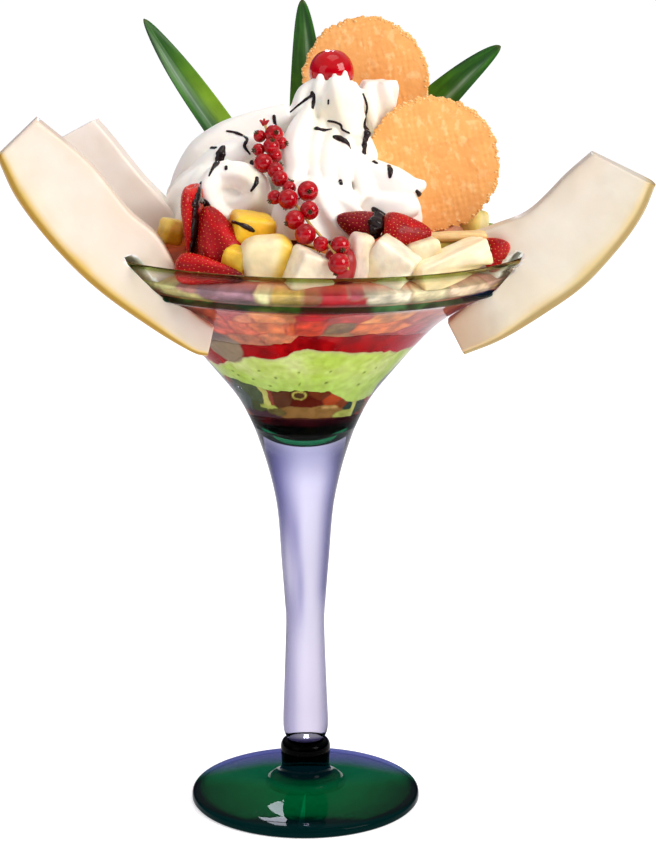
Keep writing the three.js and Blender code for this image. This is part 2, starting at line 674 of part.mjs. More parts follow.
function creamMass() {
  let cream = swirl(SWIRLS[0]);
  for (const piped of SWIRLS.slice(1)) cream = cream.add(swirl(piped));
  for (const { centre, size, turned: angles } of LOBES) cream = cream.add(lobe(centre, size, angles));
  cream = cream.add(curl([-30, -42, 274], 10, 8, [70, 0, -12]));
  for (const [degrees, rise] of ICING_PEAKS) {
    const angle = THREE.MathUtils.degToRad(degrees - 90);
    const out = CHERRY_RADIUS + 0.9;
    const foot = new THREE.Vector3(out * 0.9 * Math.cos(angle), out * 0.9 * Math.sin(angle), -13);
    const head = new THREE.Vector3(out * Math.cos(angle), out * Math.sin(angle), -12 + rise);
    const shift = new THREE.Vector3(...CHERRY_AT);
    const waist = foot.clone().lerp(head, 0.5).multiply(new THREE.Vector3(1.04, 1.04, 1));
    cream = cream.add(run([foot.add(shift), waist.add(shift), head.add(shift)], ICING_RADIUS, 4));
  }
  return cream;
}

// The first spot of a solid on the line from the eye through [x, z] of the upright plane y = 0.
function seenSpot(solid, x, z) {
  const { vertProperties, triVerts } = solid.getMesh();
  const ray = new THREE.Ray(EYE, new THREE.Vector3(x, 0, z).sub(EYE).normalize());
  const [a, b, c, hit] = [0, 1, 2, 3].map(() => new THREE.Vector3());
  let nearest = null;
  for (let i = 0; i < triVerts.length; i += 3) {
    a.fromArray(vertProperties, triVerts[i] * 3);
    b.fromArray(vertProperties, triVerts[i + 1] * 3);
    c.fromArray(vertProperties, triVerts[i + 2] * 3);
    if (!ray.intersectTriangle(a, b, c, true, hit)) continue;
    if (!nearest || hit.distanceTo(EYE) < nearest.distanceTo(EYE)) nearest = hit.clone();
  }
  return nearest;
}

// Thick chocolate runs on the cream, each as [x, z] spots seen on the plane y = 0.
const CHOCOLATE_RUNS = [
  { radius: 1.3, spots: [[-33, 296], [-26, 294], [-25, 289.5]] },
  { radius: 2, spots: [[-36, 289], [-36, 284.5], [-38, 280]] },
  { radius: 1.4, spots: [[-5.5, 304], [0, 308], [4.5, 311]] },
  { radius: 2, spots: [[12.5, 293.5], [18, 290]] },
  { radius: 1.3, spots: [[26.5, 309], [27, 301], [26, 293]] },
  { radius: 1.5, spots: [[36, 278], [36.5, 274.5]] },
];

const bare = clearOf(creamMass(), [...named('fruit_salad'), ...wedges]);
let cream = bare;
for (const { radius, spots } of CHOCOLATE_RUNS) {
  const path = spots.map(([x, z]) => seenSpot(bare, x, z)).filter((spot) => spot);
  if (path.length > 1) cream = cream.add(run(path, radius, 4));
}
put('cream', clearOf(cream, named('cherry')), { color: 0xf4f0f2, roughness: 0.55 }, bare);

// A piece of fruit or biscuit settles against everything placed before it.
function settle(name, form, colour, roughness) {
  put(name, clearOf(form, placed), { color: colour, roughness }, form);
}

WAFERS.forEach((biscuit) => settle(biscuit.name, wafer(biscuit), 0xf5b264, 0.7));
LEAVES.forEach((leaf) => settle(leaf.name, leafBlade(leaf), 0x2f6b26, 0.45));
STRAWBERRIES.forEach((berry) => settle(berry.name, strawberry(berry), 0xb81622, 0.35));
PIECES.forEach((piece) => settle(piece.name, cutPiece(piece), piece.colour, 0.45));

// The sprig of red currants: berries threaded on a thin bent stalk down the front

// Each berry: x, y, z of its centre and its radius, from the top of the sprig down.
const CURRANTS = [
  [-17, -28, 297.3, 2.9], [-12, -29, 298, 3.8], [-17.8, -33, 292.3, 2.9], [-12.6, -34, 292.5, 3.6],
  [-16.2, -40.5, 287.8, 3.9], [-11.2, -43.5, 285.4, 3.5], [-9.3, -48, 282.4, 3.5], [-11.3, -56, 276.4, 3],
  [-5.8, -58.5, 275.8, 4.2], [2, -57, 278.7, 4.2], [2.6, -65, 272.1, 3.8], [-3, -68.5, 269, 4],
  [1, -75, 264.5, 4.2], [7.1, -79, 261.4, 3.1], [14.7, -80, 260.9, 3.8], [14.2, -86.5, 254.8, 4.3],
];

function currantSprig() {
  const spots = CURRANTS.map(([x, y, z]) => new THREE.Vector3(x, y, z));
  let sprig = run(spots, 0.9, 4);
  for (const [x, y, z, radius] of CURRANTS) sprig = sprig.add(ball([x, y, z], radius, 7, 4));
  return sprig;
}

settle('currant_sprig', currantSprig(), 0xb40a14, 0.12);

export default group;
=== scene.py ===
"""A mixed fruit cup in a tall stemmed glass: layers of chocolate, fruit, lime cream and red sauce, and over
them a heap of cut fruit, whipped cream, wafers, leaves, a cherry, red currants and three melon wedges.
Sizes in the tables are millimetres. Meshes are metres, +Z up, with the origin under the foot's middle."""

import json
import math
import random

import bpy
import numpy as np
from mathutils import Euler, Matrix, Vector, noise
from mathutils.bvhtree import BVHTree

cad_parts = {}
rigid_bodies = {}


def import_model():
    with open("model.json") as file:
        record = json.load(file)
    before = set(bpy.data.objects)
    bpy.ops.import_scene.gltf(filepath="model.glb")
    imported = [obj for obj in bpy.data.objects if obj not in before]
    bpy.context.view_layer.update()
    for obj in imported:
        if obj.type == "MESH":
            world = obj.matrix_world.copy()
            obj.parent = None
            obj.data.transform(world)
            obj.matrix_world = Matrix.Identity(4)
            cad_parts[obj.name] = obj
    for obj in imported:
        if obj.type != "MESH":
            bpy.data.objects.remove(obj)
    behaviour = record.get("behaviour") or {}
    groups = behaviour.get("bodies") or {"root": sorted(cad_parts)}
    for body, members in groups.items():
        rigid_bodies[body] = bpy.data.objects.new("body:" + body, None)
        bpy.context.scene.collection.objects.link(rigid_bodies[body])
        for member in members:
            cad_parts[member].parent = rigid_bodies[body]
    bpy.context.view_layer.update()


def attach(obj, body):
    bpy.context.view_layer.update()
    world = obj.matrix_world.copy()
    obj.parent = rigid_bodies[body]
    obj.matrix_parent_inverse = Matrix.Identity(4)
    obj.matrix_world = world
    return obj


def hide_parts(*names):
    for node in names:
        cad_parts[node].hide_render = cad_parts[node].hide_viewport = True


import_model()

# Camera, floor and lights
# The glass was photographed from just over a metre away through a long lens that looks down a little.
# It stands on a plain pale floor, in soft white light with one brighter panel to the right.

MM = 0.001
EYE = Vector((10, -1050, 420)) * MM
LOOK_DOWN = 76.69

camera_data = bpy.data.cameras.new("photo_camera")
camera_data.lens = 107.4
camera = bpy.data.objects.new("photo_camera", camera_data)
camera.location = EYE
camera.rotation_euler = (math.radians(LOOK_DOWN), 0, 0)
bpy.context.scene.collection.objects.link(camera)
bpy.context.scene.camera = camera
bpy.context.scene.view_settings.view_transform = "Standard"


def linear(red, green, blue):
    """The linear colour of one given in the usual 0 to 255 steps."""
    parts = [c / 255 for c in (red, green, blue)]
    return tuple(c / 12.92 if c <= 0.04045 else ((c + 0.055) / 1.055) ** 2.4 for c in parts) + (1.0,)


def add_node(tree, kind, **settings):
    """A node of that kind, with its settings and the values of its sockets given by name."""
    node = tree.nodes.new(kind)
    for key, value in settings.items():
        if key.startswith("in_"):
            node.inputs[key[3:].replace("_", " ")].default_value = value
        else:
            setattr(node, key, value)
    return node


def grain(tree, scale):
    """A noise pattern fixed to the piece, with cells of about 1/scale metre."""
    place = add_node(tree, "ShaderNodeTexCoord")
    pattern = add_node(tree, "ShaderNodeTexNoise", in_Scale=scale, in_Detail=3.0, in_Roughness=0.5)
    tree.links.new(place.outputs["Object"], pattern.inputs["Vector"])
    return pattern.outputs["Fac"]


def ramp(tree, value, stops):
    """Colours by a value from 0 to 1, as (place, colour) stops."""
    node = add_node(tree, "ShaderNodeValToRGB")
    while len(node.color_ramp.elements) < len(stops):
        node.color_ramp.elements.new(0.5)
    for element, (place, colour) in zip(node.color_ramp.elements, stops):
        element.position = place
        element.color = linear(*colour)
    tree.links.new(value, node.inputs["Fac"])
    return node.outputs["Color"]


def finish_of(name, stops, scale, roughness, painted=None, bump=0.0, bump_scale=None, **sockets):
    """A finish: a mottled colour over the piece, times the colour painted on it where it has one."""
    material = bpy.data.materials.new(name)
    material.use_nodes = True
    tree = material.node_tree
    shader = tree.nodes["Principled BSDF"]
    shader.inputs["Roughness"].default_value = roughness
    for key, value in sockets.items():
        shader.inputs[key.replace("_", " ")].default_value = value
    colour = ramp(tree, grain(tree, scale), stops)
    if painted:
        paint = add_node(tree, "ShaderNodeAttribute", attribute_name=painted)
        both = add_node(tree, "ShaderNodeMix", data_type="RGBA", blend_type="MULTIPLY")
        both.inputs["Factor"].default_value = 1.0
        tree.links.new(paint.outputs["Color"], both.inputs["A"])
        tree.links.new(colour, both.inputs["B"])
        colour = both.outputs["Result"]
    tree.links.new(colour, shader.inputs["Base Color"])
    if bump:
        relief = add_node(tree, "ShaderNodeBump", in_Strength=bump, in_Distance=0.0006)
        tree.links.new(grain(tree, bump_scale or scale * 4), relief.inputs["Height"])
        tree.links.new(relief.outputs["Normal"], shader.inputs["Normal"])
    return material


def piece_of(name, spots, faces, material, flesh=None):
    """A smooth mesh object made of spots in millimetres; flesh is a colour painted on each spot."""
    mesh = bpy.data.meshes.new(name)
    mesh.from_pydata([tuple(c * MM for c in spot) for spot in spots], [], faces)
    mesh.polygons.foreach_set("use_smooth", [True] * len(mesh.polygons))
    mesh.materials.append(material)
    if flesh is not None:
        layer = mesh.attributes.new("flesh", "FLOAT_COLOR", "POINT")
        layer.data.foreach_set("color", np.array(flesh, np.float32).ravel())
    mesh.update()
    thing = bpy.data.objects.new(name, mesh)
    bpy.context.scene.collection.objects.link(thing)
    return thing


FLOOR_HALF = 9000
floor_corners = [(x * FLOOR_HALF, y * FLOOR_HALF, 0) for x, y in ((-1, -1), (1, -1), (1, 1), (-1, 1))]
floor_finish = finish_of(
    "pale_floor", [(0.4, (250, 250, 251)), (0.6, (253, 253, 254))], 3, 0.8,
    Emission_Color=(1.0, 1.0, 1.0, 1.0), Emission_Strength=0.54,
)
floor = piece_of("floor", floor_corners, [(0, 1, 2, 3)], floor_finish)

# Each panel: its place and the spot it faces in metres, its width and height, its watts and colour.
PANELS = {
    "key": ((1.25, -0.85, 1.05), (0, 0, 0.25), (0.7, 0.9), 21, (255, 250, 244)),
    "fill": ((-1.2, -1.1, 0.8), (0, 0, 0.22), (1.0, 1.0), 4, (244, 244, 255)),
    "top": ((0.1, -0.1, 1.6), (0, 0, 0.3), (0.8, 0.8), 4, (255, 252, 248)),
}
# A window far behind, of two panes side by side and three high, shows on the foot as pale streaks.
WINDOW_BEHIND = 1.5
WATTS_PER_AREA = 85
for column, (x, wide) in enumerate(((-0.085, 0.09), (0.0, 0.045))):
    for row, (z, high) in enumerate(((0.78, 0.13), (0.95, 0.08), (1.13, 0.17))):
        watts = WATTS_PER_AREA * wide * high
        pane = ((x, WINDOW_BEHIND, z), (0, 0, 0.02), (wide, high), watts, (236, 240, 255))
        PANELS[f"pane_{column}_{row}"] = pane

for name, (place, faces, (wide, high), watts, colour) in PANELS.items():
    panel = bpy.data.lights.new(name, "AREA")
    panel.shape = "RECTANGLE"
    panel.size, panel.size_y = wide, high
    panel.energy = watts
    panel.color = linear(*colour)[:3]
    lamp = bpy.data.objects.new(name + "_panel", panel)
    lamp.location = place
    lamp.visible_camera = False
    lamp.rotation_euler = (Vector(faces) - Vector(place)).to_track_quat("-Z", "Y").to_euler()
    bpy.context.scene.collection.objects.link(lamp)

# The room is white above and violet-grey round the horizon, which gives the glass its edges.
room = bpy.data.worlds.new("soft_room")
room.use_nodes = True
tree = room.node_tree
room_light = tree.nodes["Background"]
room_light.inputs["Strength"].default_value = 0.6
way = add_node(tree, "ShaderNodeTexCoord")
parts = add_node(tree, "ShaderNodeSeparateXYZ")
tree.links.new(way.outputs["Generated"], parts.inputs["Vector"])
SKY = [(0.0, (84, 78, 132)), (0.26, (104, 98, 152)), (0.5, (250, 250, 252)), (1.0, (255, 255, 255))]
sky = ramp(tree, parts.outputs["Z"], SKY)
seen = add_node(tree, "ShaderNodeLightPath")
either = add_node(tree, "ShaderNodeMix", data_type="RGBA")
either.inputs["B"].default_value = (1.0, 1.0, 1.0, 1.0)
tree.links.new(seen.outputs["Is Camera Ray"], either.inputs["Factor"])
tree.links.new(sky, either.inputs["A"])
tree.links.new(either.outputs["Result"], room_light.inputs["Color"])
bpy.context.scene.world = room

# The glass
# One tall blown glass: a thin solid stem that flares into a trumpet bowl, with a green ring laid round
# the bowl under its thin green rim, and a thick green foot and knop joined under the clear stem.

RIM_RADIUS = 98
RIM_HEIGHT = 250
RIM_LEAN = 0.0195
RING_HEIGHT = 236.5
RING_BEAD = 1.5
RIM_BEAD = 0.9
LENS_BOTTOM = 166
STEM_BOTTOM = 27.8
GLASS_SIDES = 160
OUTER = [
    (28, 8.5), (34, 9.9), (51, 9.4), (80, 8.5), (92, 9.1), (110, 10.5), (133, 12.3), (150, 15.7), (164, 20),
    (174, 24), (184, 29.5), (195, 38.3), (206, 47.6), (218, 59.2), (228, 73.5), (RING_HEIGHT, 87.5),
    (243, 93), (RIM_HEIGHT, RIM_RADIUS),
]
# Thickness of the bowl's wall by height: thickest where the trumpet opens.
WALL = [(LENS_BOTTOM, 2.2), (180, 2.4), (190, 4.6), (204, 4.6), (222, 2.6), (RIM_HEIGHT, 2.6)]


def ease(low, high, t):
    """0 below low, 1 above high and a smooth step between."""
    share = min(1.0, max(0.0, (t - low) / (high - low)))
    return share * share * (3 - 2 * share)


def mix(a, b, t):
    return a + (b - a) * t


def blend(a, b, t):
    return tuple(mix(x, y, t) for x, y in zip(a, b))


def flowing(points, steps):
    """A smooth line through the points, with that many steps from each point to the next."""
    at = [np.array(p, float) for p in points]
    at = [2 * at[0] - at[1], *at, 2 * at[-1] - at[-2]]
    line = []
    for a, b, c, d in zip(at, at[1:], at[2:], at[3:]):
        for t in (k / steps for k in range(steps)):
            bend = (2 * a - 5 * b + 4 * c - d) * t**2 + (3 * b - a - 3 * c + d) * t**3
            line.append(0.5 * (2 * b + (c - a) * t + bend))
    return [tuple(p) for p in line] + [tuple(at[-2])]


OUTER_LINE = flowing(OUTER, 5)


def outer_radius(z):
    return float(np.interp(z, [p[0] for p in OUTER_LINE], [p[1] for p in OUTER_LINE]))


def hollow_radius(z):
    """Radius of the bowl's hollow: a thin wall above, and a rounded bottom over the solid stem."""
    slope = (outer_radius(z + 1) - outer_radius(z - 1)) / 2
    wall = float(np.interp(z, *zip(*WALL)))
    bottom = math.sqrt(min(1.0, max(0.0, (z - LENS_BOTTOM) / 7)))
    return max(0.0, (outer_radius(z) - wall * math.sqrt(1 + slope * slope)) * bottom)


def leaned(x, y, z):
    """The blown bowl leans a little: its left side stands higher than its right."""
    return x, y, z - RIM_LEAN * x * ease(205, RING_HEIGHT, z)


def round_spot(r, z, around):
    return leaned(r * math.cos(around), r * math.sin(around), z)


def blown(r, z, around):
    """The stem was drawn by hand, so it is not quite round."""
    uneven = math.cos(3 * around + 0.7) + 0.6 * math.cos(5 * around + z / 26)
    uneven += 0.5 * math.cos(2 * around - z / 40)
    return round_spot(r * (1 + 0.014 * ease(165, 120, z) * uneven), z, around)


def inside_glass(spot):
    """The spot, moved in to the bowl's wall where it would reach into it."""
    x, y, z = spot
    level = z + RIM_LEAN * x * ease(205, RING_HEIGHT, z)
    reach = math.hypot(x, y)
    share = (hollow_radius(min(level, 246)) - 0.2) / max(reach, 0.001)
    return spot if level > RIM_HEIGHT + 1 or share > 1 else (x * share, y * share, z)


def turned(profile, sides, place):
    """Spots and faces of a closed turned shape: profile (s, t) goes round, and place() sets each spot."""
    spots, faces, rings = [], [], []
    for s, t in profile:
        count = sides if s > 0 else 1
        rings.append((len(spots), count))
        spots += [place(s, t, 2 * math.pi * k / sides) for k in range(count)]
    for (low, low_count), (high, high_count) in zip(rings, rings[1:]):
        for k in range(sides):
            j = (k + 1) % sides
            if low_count == 1:
                faces.append((low, high + j, high + k))
            elif high_count == 1:
                faces.append((low + k, low + j, high))
            else:
                faces.append((low + k, low + j, high + j, high + k))
    return spots, faces


def bead(height, radius, size, steps=9):
    """Half a round bead on the outside of the wall."""
    angles = [math.radians(-90 + 180 * k / steps) for k in range(steps + 1)]
    return [(radius + size * math.cos(a), height + size * math.sin(a)) for a in angles]


# The colour in each height of the glass, as (height, colour). The darker band from 155 to 163, where the stem
# opens into the bowl, is painted shade.
GLASS_TINTS = [
    (28, (195, 190, 209)), (60, (197, 192, 211)), (80, (194, 190, 208)), (110, (191, 187, 206)),
    (130, (198, 194, 214)), (145, (203, 199, 222)), (155, (164, 162, 192)), (163, (156, 155, 188)),
    (168, (206, 206, 226)), (182, (240, 242, 250)), (200, (252, 253, 253)),
    (RIM_HEIGHT - 1.4, (252, 253, 251)), (RIM_HEIGHT - 0.7, (128, 146, 76)),
]
RING_GREEN = (14, 84, 40)


def glass_of(name, edge, edge_shade_blend, bending):
    """Glass tinted by the colour painted on it. Where it is seen edge-on it takes the edge colour, which is
    painted shade that stands in for the dark room it would show there, and on the flared rim its own green.
    Lamps shine through it on to what it holds."""
    material = bpy.data.materials.new(name)
    material.use_nodes = True
    tree = material.node_tree
    shader = tree.nodes["Principled BSDF"]
    shader.inputs["Roughness"].default_value = 0.0
    shader.inputs["Transmission Weight"].default_value = 1.0
    shader.inputs["IOR"].default_value = bending
    paint = add_node(tree, "ShaderNodeAttribute", attribute_name="flesh")
    # The edge colour, mixed in where the glass is seen edge-on: painted shade, and the rim's green.
    facing = add_node(tree, "ShaderNodeLayerWeight", in_Blend=edge_shade_blend)
    edge_shade = add_node(tree, "ShaderNodeMix", data_type="RGBA")
    edge_shade.inputs["B"].default_value = linear(*edge)
    tree.links.new(facing.outputs["Facing"], edge_shade.inputs["Factor"])
    tree.links.new(paint.outputs["Color"], edge_shade.inputs["A"])
    tree.links.new(edge_shade.outputs["Result"], shader.inputs["Base Color"])
    clear = add_node(tree, "ShaderNodeBsdfTransparent")
    tree.links.new(paint.outputs["Color"], clear.inputs["Color"])
    path = add_node(tree, "ShaderNodeLightPath")
    either = add_node(tree, "ShaderNodeMath", operation="MAXIMUM")
    tree.links.new(path.outputs["Is Shadow Ray"], either.inputs[0])
    tree.links.new(path.outputs["Is Diffuse Ray"], either.inputs[1])
    both = add_node(tree, "ShaderNodeMixShader")
    tree.links.new(either.outputs[0], both.inputs["Fac"])
    tree.links.new(shader.outputs[0], both.inputs[1])
    tree.links.new(clear.outputs[0], both.inputs[2])
    tree.links.new(both.outputs[0], tree.nodes["Material Output"].inputs["Surface"])
    return material


def tint_at(stops, z):
    heights = [height for height, _ in stops]
    return [float(np.interp(z, heights, [linear(*colour)[k] for _, colour in stops])) for k in range(4)]


def front_angle(around):
    """Degrees round the bowl from its front, growing to the right."""
    return (math.degrees(around) + 270) % 360 - 180


# Painted shade in the stem as soft upright streaks: how far across and how high each is, half its width and
# height, and how dark, where less than 0 is a pale streak of painted light.
PAINTED_STEM_STREAKS = [
    (-0.3, 120, 0.17, 13, 0.32), (-0.17, 99, 0.15, 12, 0.34), (-0.35, 86, 0.35, 12, 0.2),
    (-0.68, 109, 0.12, 12, -0.5), (-0.5, 45, 0.14, 24, 0.14),
]
STREAKS_END, STREAKS_FULL, DARKEST = 168, 158, 0.96


def painted_stem_shade(across, z):
    """The share of the stem's tint left by its painted shade: darker sides and soft streaks; across is -1 at
    its left and 1 at its right.
    """
    left = mix(0.4, 0.95, ease(100, 140, z)) * ease(0.05, -0.95, across)
    right = mix(0.45 * ease(0.5, 0.95, across), 0.92 * ease(0.3, 0.98, across), ease(84, 100, z))
    soft = sum(
        dark * math.exp(-(((across - a) / wide) ** 2) - ((z - h) / tall) ** 2)
        for a, h, wide, tall, dark in PAINTED_STEM_STREAKS
    )
    return 1 - min(DARKEST, max(0, left + right + soft)) * ease(STREAKS_END, STREAKS_FULL, z)


below_ring = [(r, z) for z, r in OUTER_LINE if z < RING_HEIGHT - 2.3]
between = [(r, z) for z, r in OUTER_LINE if RING_HEIGHT + 2.3 < z < RIM_HEIGHT - 1.6]
hollow_heights = [LENS_BOTTOM, 166.2, 166.6, 167.2, 168, 169, 170.2, 171.6, *np.arange(173, 248, 2.0)]
hollow_line = [(hollow_radius(z), z) for z in reversed(hollow_heights)]
bowl_profile = [
    (0, STEM_BOTTOM), (6.5, STEM_BOTTOM), (7.9, STEM_BOTTOM + 0.3), *below_ring,
    *bead(RING_HEIGHT, outer_radius(RING_HEIGHT) - 0.4, RING_BEAD), *between,
    *bead(RIM_HEIGHT, RIM_RADIUS - 1.1, RIM_BEAD), (RIM_RADIUS - 1.8, RIM_HEIGHT + 0.6),
    (RIM_RADIUS - 2.6, RIM_HEIGHT - 0.2), *hollow_line,
]
spots, faces = turned(bowl_profile, GLASS_SIDES, blown)
tints = []
for r, z, around in turned(bowl_profile, GLASS_SIDES, lambda r, z, around: (r, z, around))[0]:
    on_ring = abs(z - RING_HEIGHT) < RING_BEAD + 0.1 and r > outer_radius(z) - 0.9
    # Painted shade darkens the stem's tint at its sides and in streaks, bluer where it is darker.
    shade = painted_stem_shade(math.cos(around), z)
    violet = [c * shade**power for c, power in zip(tint_at(GLASS_TINTS, z), (1, 1, 0.6))] + [1]
    tints.append(linear(*RING_GREEN) if on_ring else violet)
stem_glass = glass_of("clear_lilac_glass", (10, 4, 52), 0.5, 1.18)
bowl = piece_of("glass_bowl_and_stem", spots, faces, stem_glass, tints)
bowl.data.materials.append(glass_of("bowl_wall_glass", (44, 52, 120), 0.3, 1.07))
bowl.data.materials.append(glass_of("flared_rim_glass", (132, 140, 66), 0.16, 1.07))
WALL_FROM, FLARE_FROM = 171, RING_HEIGHT + 2
for face in bowl.data.polygons:
    face.material_index = int(face.center.z > WALL_FROM * MM) + int(face.center.z > FLARE_FROM * MM)
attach(bowl, "root")
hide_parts("glass_bowl")

# A green crescent in the bottom of the bowl, between the clear stem and the sauce, is made as a drop of
# bright green glass.
DROP_LINE = [(0, 162.3), (5.8, 162.7), (11.6, 164.3), (15.9, 166.8), (19, 169.4), (21.4, 172.2), (22.5, 174)]
drop_inside = [(hollow_radius(z) + 0.2, z) for z in (174, 172, 170.2, 168.6, 167.3, 166.5, 166.1)]
drop_profile = [*flowing(DROP_LINE, 4), *drop_inside, (0, LENS_BOTTOM - 0.1)]
FOOT_RADIUS = 50.5
FOOT_LINE = [
    (50.4, 1.9), (50.3, 2.9), (49.7, 3.8), (48.3, 4.35), (44, 4.9), (36, 5.5), (28, 6.2), (22, 6.9),
    (18, 7.7), (16.3, 8.7), (15.3, 10), (13.3, 10.9), (11.7, 11.9), (10.8, 13.6), (10.6, 16), (10.7, 19),
    (11, 22.5), (10.8, 24.8), (10, 26.4), (8.6, 27.3), (7.4, 27.7),
]
# The foot's own green, the near-black of its painted shade and the violet of its painted reflection.
FOOT_GREEN, FOOT_PAINTED_SHADE, FOOT_PAINTED_REFLECTION = linear(0, 106, 30), linear(0, 2, 2), linear(104, 106, 180)


def foot_tint_shade_and_reflection(x, y, z):
    """Deep green glass, with painted shade that makes it nearly black in the knop and its middle, at the
    front edge and towards the sides, and a painted violet reflection of the room at the back.
    """
    r = math.hypot(x, y)
    behind = y + 0.35 * max(0, abs(x) - 20)
    green = blend(FOOT_GREEN, FOOT_PAINTED_REFLECTION, 0.9 * ease(18, 38, behind) * ease(14, 26, r))
    side = (0.55 + 0.25 * ease(-10, 30, x)) * ease(24, 46, r) * ease(20, -5, y)
    edge = max(ease(42, 47, r) * ease(24, 4, y), ease(-32, -40, y))
    return blend(green, FOOT_PAINTED_SHADE, max(ease(8, 12, z), side, edge, 0.85 * ease(19, 14, r)))


foot_profile = [(0, 0), (49, 0), (49.9, 0.3), (FOOT_RADIUS, 1.1), *flowing(FOOT_LINE, 3), (0, 27.75)]
spots, faces = turned(foot_profile, GLASS_SIDES, lambda r, z, a: (r * math.cos(a), r * math.sin(a), z))
foot_glass = glass_of("emerald_glass", (0, 2, 3), 0.2, 1.08)
foot = piece_of("glass_foot_and_knop", spots, faces, foot_glass, [foot_tint_shade_and_reflection(*spot) for spot in spots])
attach(foot, "root")
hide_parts("glass_foot")
spots, faces = turned(drop_profile, GLASS_SIDES, round_spot)
drop_glass = glass_of("emerald_drop", (0, 110, 56), 0.5, 1.01)
drop = piece_of("green_drop_in_bowl", spots, faces, drop_glass, [linear(70, 206, 130)] * len(spots))
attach(drop, "root")
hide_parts("glass_bowl")

# The layers in the bowl
# From below: dark chocolate sauce, stewed fruit with lime syrup run into it, smooth lime cream with specks
# of herb, and red sauce that drips into the cream. Each lies on the last and is pressed against the glass.

INTO_WALL = 0.35
LAYER_SIDES = 400
# Uneven shapes come out the same each time the script runs.
noise.seed_set(11)

# Each face between layers: its heights at the wall by degrees from the bowl's front, growing to the right,
# then its sag in the middle and the depth of its small drips.
LAYER_FACES = {
    "pool_bottom": ([(0, LENS_BOTTOM - 0.3)], 0.0, 0.0),
    "pool_top": ([(-180, 177.5), (-77, 176.3), (-27, 178), (0, 178.4), (29, 178), (70, 176.6)], 0.0, 0.3),
    "fruit_top": (
        [(-180, 190), (-120, 193), (-77, 195), (-46, 193.1), (-21, 191.1), (-7, 192), (20, 191.1),
         (32, 187.6), (46, 184.8), (74, 184.2), (120, 187)], 0.0, 0.9,
    ),
    "lime_top": (
        [(-180, 208), (-120, 204), (-69, 200.5), (-35, 207.3), (-27, 209), (-16, 207.8), (-8, 210.2),
         (-4, 213), (2, 213.8), (10, 212.4), (20, 211.7), (31, 211.2), (41, 209.3), (62, 207.8),
         (120, 208)], -1.0, 0.9,
    ),
    "sauce_top": (
        [(-180, 218), (-90, 214.5), (-31, 214.5), (-15, 215.4), (-5, 217.4), (-2, 221), (10, 220.8),
         (31, 219.6), (47, 217.8), (80, 215.5), (120, 217)], -2.0, 1.0,
    ),
    "salad_top": ([(0, 243.1)], -19.0, 0.0),
}


def face_height(face, s, around):
    """Height of a face at s of the way out to the wall, with small uneven drips."""
    heights, sag, drips = LAYER_FACES[face]
    angles, levels = zip(*heights)
    uneven = noise.fractal(Vector((5 * math.cos(around), 5 * math.sin(around), levels[0])), 0.6, 2.1, 4)
    at_wall = float(np.interp(front_angle(around), angles, levels, period=360))
    return mix(sum(levels) / len(levels) - sag, at_wall, s * s) + drips * s * uneven


def fill_radius(z):
    """How far out a layer reaches: just into the wall, and just under the hollow's round bottom."""
    return hollow_radius(z + 0.8 * ease(176, 170, z)) + INTO_WALL


def streak(x, y, z):
    """A soft uneven value from 0 to 1."""
    return min(1.0, max(0.0, 0.5 + 0.7 * noise.fractal(Vector((x, y, z)), 0.7, 2.0, 4)))


def layer_mesh(low, high, wall_steps, flat_steps, look):
    """A layer out to the wall. look(angle, z, s, t) gives each spot's dent from the wall, rise and colour."""
    flat = [k / flat_steps for k in range(flat_steps + 1)]
    profile = [(s, 0) for s in flat] + [(1, (k + 1) / wall_steps) for k in range(wall_steps - 1)]
    profile += [(s, 1) for s in reversed(flat)]
    flesh = []

    def place(s, t, around):
        edge = mix(face_height(low, 1, around), face_height(high, 1, around), t)
        z = edge if 0 < t < 1 else face_height(low if t == 0 else high, s, around)
        dent, rise, colour = look(front_angle(around), z, s, t)
        flesh.append(linear(*colour))
        return round_spot(s * (fill_radius(edge) - dent), z + rise, around)

    spots, faces = turned(profile, LAYER_SIDES, place)
    return spots, faces, flesh


def pressed(chunks, angle, z, cell):
    """The chunk of fruit pressed to the glass there: its colour, and how near the gap to the next one is."""
    across = math.radians(1) * hollow_radius(z)
    wobble = noise.noise_vector(Vector((angle * across / 5, z / 5, 1))) * 1.1
    best = []
    for a, h, wide, tall, colour in chunks:
        aside = ((angle - a + 180) % 360 - 180) * across
        if abs(aside) < 5 * cell:
            far = math.hypot(aside / wide + wobble.x / cell, (z - h) / tall + wobble.y / cell)
            best.append((far, colour))
    best.sort()
    gap = best[1][0] - best[0][0] if len(best) > 1 else 1.0
    return best[0][1], gap


GAP_DEPTH = 0.3


def mixed_chunks(seed, low, high, cell, palette, skip):
    """Chunks at random over the part of the wall that the list of chosen ones leaves."""
    rng = random.Random(seed)
    chunks = []
    rows = round((high - low) / cell)
    for row in range(rows):
        z = low + (row + 0.5) * (high - low) / rows
        step = math.degrees(cell * 1.35 / hollow_radius(z))
        angle = skip[1] + step * rng.random()
        while angle < skip[0] + 360:
            size = cell * rng.uniform(0.8, 1.3)
            chunks.append((angle, z + rng.uniform(-0.25, 0.25) * cell, size, size * 0.8, rng.choice(palette)))
            angle += step * rng.uniform(0.8, 1.2)
    return chunks


DATE_LIGHT, DATE_DARK = (150, 130, 104), (92, 66, 62)


def with_date(colour, angle, z, s):
    """A grey-brown date half is pressed to the glass on the left, darker along its top."""
    rise = z - 211.8 - (angle + 43) * 0.135
    edge = math.hypot((angle + 43) / 13, rise / 8) + 0.1 * noise.noise(Vector((angle / 4, z / 3, 8)))
    date = blend(DATE_LIGHT, DATE_DARK, ease(1, 7, rise))
    return blend(date, colour, ease(0.88, 1.02, edge)) if s == 1 else colour


